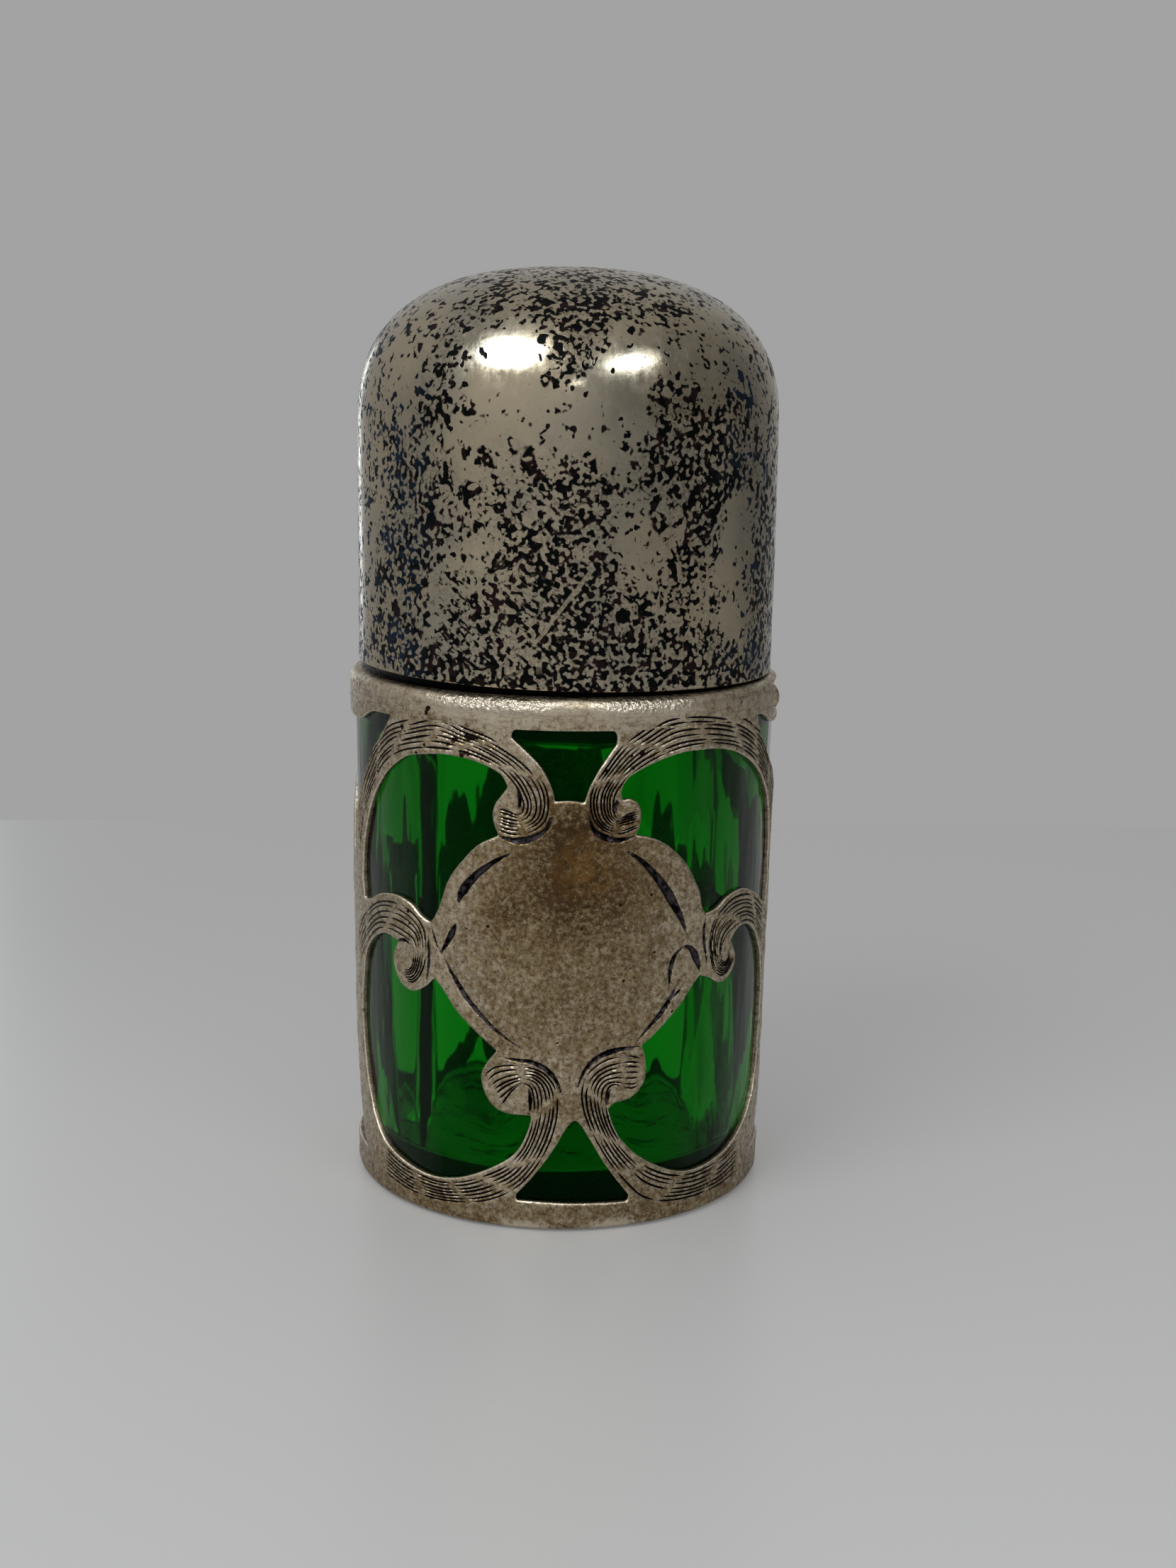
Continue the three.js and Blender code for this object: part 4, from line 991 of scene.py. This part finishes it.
def neighbours(curve, reach):
    """For each grid point within reach cells of a sample of the curve: its row, its column, its distance
    from the sample, and which sample that is."""
    shift = np.arange(-reach, reach + 1)
    column = np.round(curve[:, 0] / CELL).astype(int)[:, None, None] + shift[:, None]
    row = np.round(curve[:, 1] / ROW_STEP).astype(int)[:, None, None] + shift
    column, row = np.broadcast_arrays(column, row)
    distance = np.hypot(column * CELL - curve[:, :1, None], row * ROW_STEP - curve[:, 1:, None])
    sample = np.broadcast_to(np.arange(len(curve))[:, None, None], row.shape)
    good = (row >= 0) & (row < len(ROW))
    return row[good], (column[good] + SIDES // 2) % SIDES, distance[good], sample[good]


def near_curves(curves, half_widths, reach):
    """The distance from every grid point to the nearest curve, less the curve's half width there."""
    field = np.full(FLAT_X.shape, FAR)
    for curve, half_width in zip(curves, half_widths):
        row, column, distance, sample = neighbours(curve, reach)
        np.minimum.at(field, (row, column), distance - np.broadcast_to(half_width, len(curve))[sample])
    return field


def nearest_sample(curve, reach=4):
    """For each grid point the nearest sample of a curve, and how far away it is. The samples are written
    from the furthest to the nearest, so the nearest one stays."""
    row, column, distance, sample = neighbours(curve, reach)
    order = np.argsort(-distance)
    away, which = np.full(FLAT_X.shape, FAR), np.zeros(FLAT_X.shape, int)
    away[row[order], column[order]] = distance[order]
    which[row[order], column[order]] = sample[order]
    return away, which


def inside_outline(curve):
    """True at the grid points inside a closed outline: those with an odd number of crossings on their
    left."""
    row_at = np.ceil(curve[:, 1] / ROW_STEP).astype(int)
    crosses = np.nonzero(row_at[:-1] != row_at[1:])[0]
    row = np.minimum(row_at[crosses], row_at[crosses + 1])
    start, end = curve[crosses], curve[crosses + 1]
    share = (row * ROW_STEP - start[:, 1]) / (end[:, 1] - start[:, 1])
    column = np.ceil((start[:, 0] + share * (end[:, 0] - start[:, 0])) / CELL).astype(int) + SIDES // 2
    count = np.zeros(FLAT_X.shape, int)
    good = (row >= 0) & (row < len(ROW))
    np.add.at(count, (row[good], column[good]), 1)
    return np.cumsum(count, axis=1) % 2 == 1


def both_panels(values):
    """The front panel's values, and the same half a turn further for the back."""
    return values, np.roll(values, SIDES // 2, axis=1)


open_front = np.any([inside_outline(curve) for curve in window_outlines], axis=0)
is_open = np.logical_or(*both_panels(open_front)) | inside_outline(notch)
edge_distance, edge_sample = nearest_sample(all_outlines)
inner_distance = np.where(is_open, 0, edge_distance)
print("windows:", 2 * len(WINDOWS), "open share of the sheet:", round(float(is_open.mean()), 3))

# %% [markdown]
# ### Engraving
# The engraver worked in batches: all lines of a scroll stop near the same places, where the hand was moved,
# and each stroke tapers at both ends. Lines drawn without breaks look printed. A line is hardly wider than
# a grid cell and would look ragged, so the mesh doesn't store the lines themselves. It stores a count that
# grows by one from line to line, and the finish draws a crisp line wherever the count is whole.

# %% Engraved lines
LINE_HALF_WIDTH = 0.066
STROKE_LENGTHS = (2.3, 4.2)
STROKE_TAPER = 0.6
SKIPPED_STROKES = 0.04
EDGE_SPACE = 0.24  # the share of a line's spacing that is left free at a scroll's two edges
LINE_STEP = 0.04


def scroll_lines(count, rungs):
    """The engraved lines of one scroll, each wavering a little about its share of the way across. Every row
    of the result has a point, the direction to the next line, the distance to it, the line's number, and its
    half width, which falls to nothing between strokes."""
    rungs = np.array(rungs, float)
    first, second = smooth_curve(on_sheet(rungs[:, :2])), smooth_curve(on_sheet(rungs[:, 2:]))
    middle_length = even_steps((first + second) / 2, LINE_STEP)[1][-1]
    strokes = np.concatenate([[dice.uniform(-1, 0)], dice.uniform(*STROKE_LENGTHS, 20)])
    breaks = np.cumsum(strokes) / middle_length
    for k in range(count):
        waver = np.sin(np.linspace(0, dice.uniform(6, 12), len(first)) + dice.uniform(0, 6))
        share = (k + 0.5 * (1 + EDGE_SPACE) + 0.16 * waver) / (count + EDGE_SPACE)
        path = first + (second - first) * share[:, None]
        curve, along = even_steps(path, LINE_STEP)
        old_along = np.concatenate([[0], np.cumsum(np.hypot(*np.diff(path, axis=0).T))])
        over = np.stack([np.interp(along, old_along, (second - first)[:, i]) for i in (0, 1)], -1)
        ahead = np.gradient(curve, axis=0)
        ahead = ahead / np.hypot(*ahead.T)[:, None]
        normal = np.stack([-ahead[:, 1], ahead[:, 0]], -1)
        gap = (over * normal).sum(1) / (count + EDGE_SPACE)
        half = np.zeros(len(curve))
        for start, end in zip(breaks[:-1] * along[-1], breaks[1:] * along[-1]):
            if dice.uniform() > SKIPPED_STROKES:
                start, end = start + dice.uniform(-0.15, 0.2), end - dice.uniform(-0.1, 0.45)
                taper = np.clip(np.minimum(along - start, end - along) / STROKE_TAPER, 0, 1) ** 0.5
                half = np.maximum(half, LINE_HALF_WIDTH * taper * dice.uniform(0.85, 1.15))
        half = half * np.clip(np.minimum(along, along[-1] - along) / 0.4, 0, 1)
        yield np.column_stack([curve, normal * np.sign(gap)[:, None], np.maximum(np.abs(gap), 0.12),
                               np.full(len(curve), k), half])


def count_lines(lines):
    """How many lines have been passed on the way across the scroll, at every grid point: the nearest line's
    number plus the share of the way to the next. Whole numbers lie on a line. Also its half width there."""
    away, which = nearest_sample(lines[:, :2])
    near = lines[which]
    side = (FLAT_X - near[..., 0]) * near[..., 2] + (FLAT_Y - near[..., 1]) * near[..., 3]
    share = np.sign(side) * away / near[..., 4]
    width = np.where(np.abs(share) < 0.5, near[..., 6] / near[..., 4], 0)
    return near[..., 5] + np.clip(share, -0.5, 0.5), width


lines = np.concatenate([line for count, rungs in SCROLLS.values() for line in scroll_lines(count, rungs)])
(line_count, back_count), (line_width, back_width) = map(both_panels, count_lines(lines))
line_count = np.where(back_width > line_width, back_count, line_count)
line_width = np.maximum(line_width, back_width)
print("samples on engraved lines:", len(lines), "share of the sheet they touch:",
      round(float((line_width > 0).mean()), 3))

# %% Cuts and pits
SMALL_PITS = 420


def graver_cut(widest, where, points):
    """One deep stroke: its half width rises from nothing to its widest place and falls again."""
    curve, along = even_steps(smooth_curve(on_sheet(points)), 0.03)
    share = along / along[-1]
    swell = np.where(share < where, share / where, (1 - share) / (1 - where))
    return curve, 1.2 * widest * np.clip(swell, 0, 1) ** 0.7


cut_field = np.minimum(*both_panels(near_curves(*zip(*[graver_cut(*cut) for cut in CUTS]), reach=5)))
pit_places = np.concatenate([np.array(PITS), np.stack([
    dice.uniform(-180, 180, SMALL_PITS), dice.uniform(0.6, 31.6, SMALL_PITS),
    dice.uniform(0.02, 0.1, SMALL_PITS)], -1)])
pit_field = near_curves([on_sheet(place[None, :2]) for place in pit_places], pit_places[:, 2], reach=4)
print("cuts:", 2 * len(CUTS), "pits:", len(pit_places))

# %% [markdown]
# ### Depths
# Bump alone bends the light but leaves every rim and outline smooth, so the engraving is real depth. The
# surface height is a sum: a round along every edge, the engraved lines, the deeper cuts, the pits, a slow
# unevenness from hand finishing, and a fine speckle, strongest on the bead.

# %% Heights
EDGE_ROUND = 0.17
LINE_DEPTH = 0.09
CUT_DEPTH = 0.2
PIT_DEPTH = 0.07
HAND_WAVES = [(7, 0.9, 0.3), (13, -0.7, 1.9), (22, 1.6, 4.0), (31, -2.3, 5.1), (17, 2.6, 2.2)]

from_line = np.abs((line_count + 0.5) % 1 - 0.5)
line_depth = np.clip(line_width / 0.16, 0, 1) * np.cos(math.pi * from_line) ** 2
cut_depth = np.clip((0.02 - cut_field) / 0.11, 0, 1)
pit_depth = np.clip((0.03 - pit_field) / 0.1, 0, 1)
over_edge = EDGE_ROUND - np.minimum(inner_distance, EDGE_ROUND)
edge_drop = np.minimum(EDGE_ROUND - np.sqrt(EDGE_ROUND**2 - over_edge**2), 0.13)
turned = FLAT_X / CIRCUMFERENCE * 2 * math.pi
unevenness = sum(0.008 * np.sin(k * turned + f * FLAT_Y + p) for k, f, p in HAND_WAVES)
speckle = dice.normal(size=is_open.shape)
speckle = sum(np.roll(speckle, (i, j), (0, 1)) for i in (0, 1) for j in (0, 1, 2)) / math.sqrt(6)
unevenness = unevenness + speckle * (0.0025 + 0.005 * np.exp(-((ROW_Z - 32.05) / 0.45) ** 2))[:, None]
height_map = (unevenness - LINE_DEPTH * line_depth - CUT_DEPTH * cut_depth - PIT_DEPTH * pit_depth
              - 0.8 * edge_drop)
print("deepest place:", round(float(height_map[~is_open].min()), 3), "mm")

# %% [markdown]
# ### Patina
# Brown patina gathers in the middle of each cartouche, where nothing rubs, and along the foot. A noise
# can't know where hands touch, so the places are drawn as soft hills: e to the minus of a distance, with a
# higher power for a flatter hill. The bead's top is crinkled by wear. At the two places where the lamps make
# it sparkle it is also painted bright, with less patina, as a painted highlight, and two spots on the foot's
# lower edge get less patina as painted highlights too. Under the cap's rim all is painted black, as painted
# shade.

# %% Patina and crinkles
degrees_map, z_map = np.meshgrid((COLUMN / ARC_MM + 90) % 180 - 90, ROW_Z)
across = degrees_map * ARC_MM


def hill(x, z, x_reach, z_reach, power=2):
    """A soft hill round a place on each panel: e to the minus of the distances across and up, each divided
    by its reach and raised to the power."""
    return np.exp(-(np.abs((across - x) / x_reach) ** power + np.abs((z_map - z) / z_reach) ** power))


patina_and_painted_light = 0.08 + 0.42 * hill(0, 17.5, 6.4, 7.5, 6) + 0.55 * np.exp(-((z_map / 2.2) ** 2))
# Painted highlights: two spots on the foot's lower edge lose their patina and look bright.
painted_foot_glints = sum(np.exp(-(((degrees_map - middle) / 6) ** 2)) for middle in (-11, 12))
patina_and_painted_light -= 2.2 * np.exp(-((z_map / 0.6) ** 2)) * painted_foot_glints
patina_and_painted_light += 0.98 * hill(0.4, 21.8, 3.464, 3.742) + 0.9 * hill(0, 25.2, 2, 2)
patina_and_painted_light += 0.4 * hill(0, 7.8, 2.449, 1.2) + 0.5 * hill(-4.1, 19.8, 1.225, 1.095)
stain = hill(0.9, 22.6, 1.732, 1.732)
# The places where the lamps' highlights fall on the bead: crinkles there, and painted highlights.
painted_highlight_places = sum(np.exp(-(((degrees_map - middle) / width) ** 4)) for middle, width in [(-21, 14), (18.5, 12.5)])
crinkle_and_highlight = np.exp(-(((z_map - 32.05) / 0.42) ** 4)) * np.clip(painted_highlight_places, 0, 1)
patina_and_painted_light += (-0.2 - 0.6 * np.clip(1.4 * painted_highlight_places, 0, 1)) * np.exp(-(((z_map - 31.9) / 0.8) ** 2))
# Painted shade: black on the bead's top and its inner ledge under the cap's rim.
painted_shade = np.clip((12.82 - ROW_R) / 0.08, 0, 1)[:, None] * (ROW_Z > 31)[:, None] + 0 * across
print("patina from", round(float(patina_and_painted_light.min()), 2), "to", round(float(patina_and_painted_light.max()), 2))

# %% [markdown]
# ### Rolling the sheet up
# Grid points that lie outside the silver, but close to it, slide to the nearest outline, so the edges are
# smooth lines and not stairs. Then the sheet is rolled up: the place across becomes an angle, and the row
# gives the radius and the height. The sheet is built in six pieces, because one would have too many faces.

# %% Points of the sheet
SLIDE_REACH = 0.9

solid = ~is_open & (edge_distance > 0.3 * CELL)
slides = ~solid & (edge_distance < SLIDE_REACH)
nearest = all_outlines[edge_sample]
shift = (nearest[..., 0] - FLAT_X + CIRCUMFERENCE / 2) % CIRCUMFERENCE - CIRCUMFERENCE / 2
sheet_x = np.where(slides, FLAT_X + shift, FLAT_X)
sheet_y = np.clip(np.where(slides, nearest[..., 1], FLAT_Y), 0, ROW[-1])
sink = np.clip((sheet_y - 0.2) / 0.3, 0, 1) * np.clip((ROW[-1] - sheet_y) / 0.6, 0, 1)


def rolled_up(radius, z):
    """Points at the given radii and heights, with the place across the flat sheet as their angle."""
    angle = sheet_x / ARC_MM * math.pi / 180
    return np.stack([radius * np.sin(angle), -radius * np.cos(angle), z], -1).reshape(-1, 3)


sheet_points = np.concatenate([
    rolled_up(np.interp(sheet_y, ROW, ROW_R) + height_map * sink - INSET, np.interp(sheet_y, ROW, ROW_Z)),
    rolled_up(np.interp(sheet_y, ROW, ROW_R_IN), np.interp(sheet_y, ROW, ROW_Z_IN))])
sheet_fields = {
    "line_count": line_count, "line_width": line_width, "near_cut": np.clip(NEAR - cut_field, 0, 1),
    "near_pit": np.clip(NEAR - pit_field, 0, 1), "near_edge": np.clip(NEAR - inner_distance, 0, 1),
    "patina_and_painted_light": patina_and_painted_light, "stain": stain, "crinkle_and_highlight": crinkle_and_highlight, "painted_shade": painted_shade}
print("points outside and inside:", len(sheet_points), "of which slid:", int(slides.sum()))


# %% Build the sheet in six pieces
def sheet_piece(name, first_degree, last_degree):
    """The closed mesh of one part of the sheet. A grid cell is kept if one of its corners is well inside
    the silver. Every kept cell has a face outside and a face inside, and each edge with a kept cell on one
    side only gets a wall between them."""
    column_degrees = COLUMN / ARC_MM % 360 if last_degree > 180 else COLUMN / ARC_MM
    kept = solid | np.roll(solid, -1, axis=1)
    kept = (kept[:-1] | kept[1:]) & (column_degrees >= first_degree) & (column_degrees < last_degree)
    inner = is_open.size
    index = np.arange(inner).reshape(is_open.shape)
    index_after = np.roll(index, -1, axis=1)
    a, b, c, d = index[:-1], index_after[:-1], index_after[1:], index[1:]
    padded = np.pad(kept, ((1, 1), (0, 0)))
    sides = [(a, b, padded[:-2]), (b, c, np.roll(kept, -1, axis=1)),
             (c, d, padded[2:]), (d, a, np.roll(kept, 1, axis=1))]
    quads = [np.stack([a, b, c, d], -1)[kept], np.stack([a, d, c, b], -1)[kept] + inner]
    for start, end, other in sides:
        bare = kept & ~other
        quads.append(np.stack([end[bare], start[bare], start[bare] + inner, end[bare] + inner], -1))
    kind = np.repeat([0, 1] + [2] * len(sides), [len(part) for part in quads])
    used, compact = np.unique(np.concatenate(quads), return_inverse=True)
    fields = {key: np.concatenate([values.ravel(), 0 * values.ravel()])[used]
              for key, values in sheet_fields.items()}
    add_piece("overlay_" + name, sheet_points[used], compact.reshape(-1, 4).tolist(), "bottle",
              "worn_silver", sheet_silver, ["silver_overlay", "collar_ring"], fields,
              {"inside": kind == 1, "wall": kind == 2}, sharp=58)


for name, first_degree, last_degree in [
        ("front_left", -54, 0), ("front_right", 0, 54), ("right", 54, 126),
        ("back_right", 126, 180), ("back_left", 180, 234), ("left", 234, 306)]:
    sheet_piece(name, first_degree, last_degree)

# %% [markdown]
# ## Collar plate, bezel and cement
# Under the cap the collar goes in to the neck as a flat plate, and a thin ring stands on it that the cap
# closes over. Plaster beds the plate on the glass. All three are turned forms. Near the hinge the plate's
# edge steps back and the ring's foot lifts, which leaves room for the barrel without a cut through them.

# %% Mounts
PLATE_HOLE, PLATE_RADIUS = 5.2, 12.1
PLATE_FOOT, PLATE_TOP = 31.75, 32.02
BEZEL_INNER, BEZEL_OUTER = 11.55, 12.05
BEZEL_FOOT, BEZEL_TOP = 31.98, 34.3
BARREL_ROOM = 4.6  # half the length along the hinge that is kept free
PLATE_STEP_BACK = 10.85
BEZEL_OVER_BARREL = 32.37
CEMENT_HOLE, CEMENT_RADIUS = 6.6, 10.9
CEMENT_TOP = 31.6


def near_hinge(angle):
    """True for the angles at which the barrel lies: those whose place along the hinge is within reach."""
    return (np.abs(12 * np.cos(angle)) < BARREL_ROOM) & (np.sin(angle) > 0)


def plate_bend(angle, radius, z):
    """Steps the plate's outer edge back to a straight line behind the barrel."""
    straight = PLATE_STEP_BACK / np.maximum(np.sin(angle), 0.2)
    return np.where(near_hinge(angle), np.minimum(radius, straight), radius), z


def bezel_bend(angle, radius, z):
    """Lifts the ring's foot over the barrel."""
    return radius, np.where(near_hinge(angle) & (z < BEZEL_OVER_BARREL), BEZEL_OVER_BARREL, z)


plate = round_corners([(PLATE_HOLE, PLATE_FOOT), (PLATE_RADIUS, PLATE_FOOT), (PLATE_RADIUS, PLATE_TOP),
                       (PLATE_HOLE, PLATE_TOP, 0.08)])
plate_points, plate_faces = turn(split_long(plate, 1.0), bend=plate_bend)
# The plate is painted dark with patina and black: painted shade for the shadowed gap under the cap.
add_piece("collar_plate", plate_points, plate_faces, "bottle", "worn_silver", mount_silver, ["collar_ring"],
          {"patina_and_painted_light": np.full(len(plate_points), 1.3), "painted_shade": np.full(len(plate_points), 0.6)})
bezel = round_corners([(BEZEL_INNER, BEZEL_FOOT), (BEZEL_OUTER, BEZEL_FOOT), (BEZEL_OUTER, BEZEL_TOP, 0.12),
                       (BEZEL_INNER, BEZEL_TOP, 0.12)])
bezel_points, bezel_faces = turn(split_long(bezel, 0.3), bend=bezel_bend)
# The ring's lower part is painted black and the ring gets patina: painted shade under the cap's rim.
bezel_painted_shade = np.clip((33.6 - bezel_points[:, 2]) / 0.5, 0, 1)
add_piece("bezel", bezel_points, bezel_faces, "bottle", "worn_silver", mount_silver, ["bezel_ring"],
          {"patina_and_painted_light": np.full(len(bezel_points), 0.6), "painted_shade": bezel_painted_shade})
cement_ring = round_corners([(CEMENT_HOLE, 31.15, 0.1), (CEMENT_RADIUS, 31.05, 0.1),
                             (CEMENT_RADIUS, CEMENT_TOP, 0.15), (CEMENT_HOLE, CEMENT_TOP, 0.15)])
add_piece("cement_bed", *turn(split_long(cement_ring, 1.0)), "bottle", "cement", cement, ["mount_cement"])

# %% [markdown]
# ## The hinge
# Five short tubes on one pin: three belong to the collar and two to the cap. Blender's own cylinders have
# sharp ends, and the real ones are worn round, so each is a small profile turned about the hinge's own
# line. A cap tube also carries a leaf, a curved strip that reaches up to the cap's rim.

# %% Hinge
LEAF_INNER, LEAF_OUTER = 12.45, 12.95
LEAF_FOOT, LEAF_TOP = 31.5, 32.75
LEAF_STEPS = 8
BORE_CLEARANCE = 0.05
WORN_END, HIDDEN_END = 0.52, 0.1  # how far a tube's end is rounded
PIN_HALF_LENGTH = 4.42


def turn_on_hinge(profile):
    """Points and faces of a closed profile of (radius, place along Y) turned about the hinge line."""
    points, faces = turn(np.asarray(profile)[::-1], 48)
    return np.stack([HINGE_X + points[:, 0], points[:, 2], HINGE_Z + points[:, 1]], -1), faces


def leaf(y_from, y_to):
    """A curved strip between two radii of the cap, from inside the barrel up to just over the rim. Each
    place along the hinge has a ring of four points, at the distance from the axis that its radius gives."""
    ring = [(LEAF_INNER, LEAF_FOOT), (LEAF_OUTER, LEAF_FOOT), (LEAF_OUTER, LEAF_TOP), (LEAF_INNER, LEAF_TOP)]
    places = np.linspace(y_from, y_to, LEAF_STEPS + 1)
    points = [(math.sqrt(r**2 - y**2), y, z) for y in places for r, z in ring]
    k = np.arange(4)
    first = 4 * np.arange(LEAF_STEPS)[:, None]
    sides = np.stack([first + 4 + k, first + 4 + (k + 1) % 4, first + (k + 1) % 4, first + k], -1)
    ends = [k.tolist(), (4 * LEAF_STEPS + k)[::-1].tolist()]
    return np.array(points), sides.reshape(-1, 4).tolist() + ends


span = (HINGE_LENGTH - KNUCKLE_GAP * (KNUCKLE_COUNT - 1)) / KNUCKLE_COUNT
for i in range(KNUCKLE_COUNT):
    body, side = ("cap", "cap") if i % 2 else ("bottle", "collar")
    start = -HINGE_LENGTH / 2 + i * (span + KNUCKLE_GAP)
    end = start + span
    first_round = WORN_END if i == 0 else HIDDEN_END
    last_round = WORN_END if i == KNUCKLE_COUNT - 1 else HIDDEN_END
    bore = PIN_RADIUS + BORE_CLEARANCE
    tube = round_corners([(bore, start, 0.05), (KNUCKLE_RADIUS, start, first_round),
                          (KNUCKLE_RADIUS, end, last_round), (bore, end, 0.05)], 7)
    tube_points, tube_faces = turn_on_hinge(tube)
    if body == "cap":
        leaf_points, leaf_faces = leaf(start + 0.03, end - 0.03)
        tube_faces = tube_faces + [[v + len(tube_points) for v in face] for face in leaf_faces]
        tube_points = np.concatenate([tube_points, leaf_points])
    add_piece("barrel_" + str(i + 1), tube_points, tube_faces, body, "worn_silver", mount_silver,
              [side + "_knuckle_" + str(i + 1)], {"patina_and_painted_light": np.full(len(tube_points), -0.2)}, sharp=35)
pin_shoulder = PIN_HALF_LENGTH - 0.04
pin = round_corners([(0, -PIN_HALF_LENGTH), (PIN_RADIUS, -pin_shoulder, 0.12),
                     (PIN_RADIUS, pin_shoulder, 0.12), (0, PIN_HALF_LENGTH)])
add_piece("barrel_pin", *turn_on_hinge(pin), "bottle", "worn_silver", mount_silver, ["hinge_pin"], sharp=35)

# %% [markdown]
# ## The stopper
# A ground glass plug with a flange, a waist and a rounded head, hidden under the cap until it is opened. It
# could be put together from cylinders and a sphere, but glass shows the seams inside such a stack, so it is
# one turned form.

# %% Stopper
PLUG_FOOT = 33.05
FLANGE_FOOT, FLANGE_TOP = NECK_TOP + 0.1, NECK_TOP + 0.65
FLANGE_RADIUS = 4.3
WAIST_RADIUS = 2.5

stopper = round_corners([
    (0, PLUG_FOOT), (3.0, PLUG_FOOT, 0.2), (3.2, FLANGE_FOOT, 0.1), (FLANGE_RADIUS, FLANGE_FOOT, 0.2),
    (FLANGE_RADIUS, FLANGE_TOP, 0.2), (WAIST_RADIUS, 40.65, 0.3), (WAIST_RADIUS, 41.2, 0.3),
    (FLANGE_RADIUS, 42.2, 1.0), (4.4, 44.6, 1.4), (2.6, 46.75, 1.2), (0, 46.85)], steps=8)
add_piece("stopper_glass", *turn(split_long(stopper, 0.7), 96), "stopper", "green_glass", glass,
          ["glass_stopper"], sharp=50)
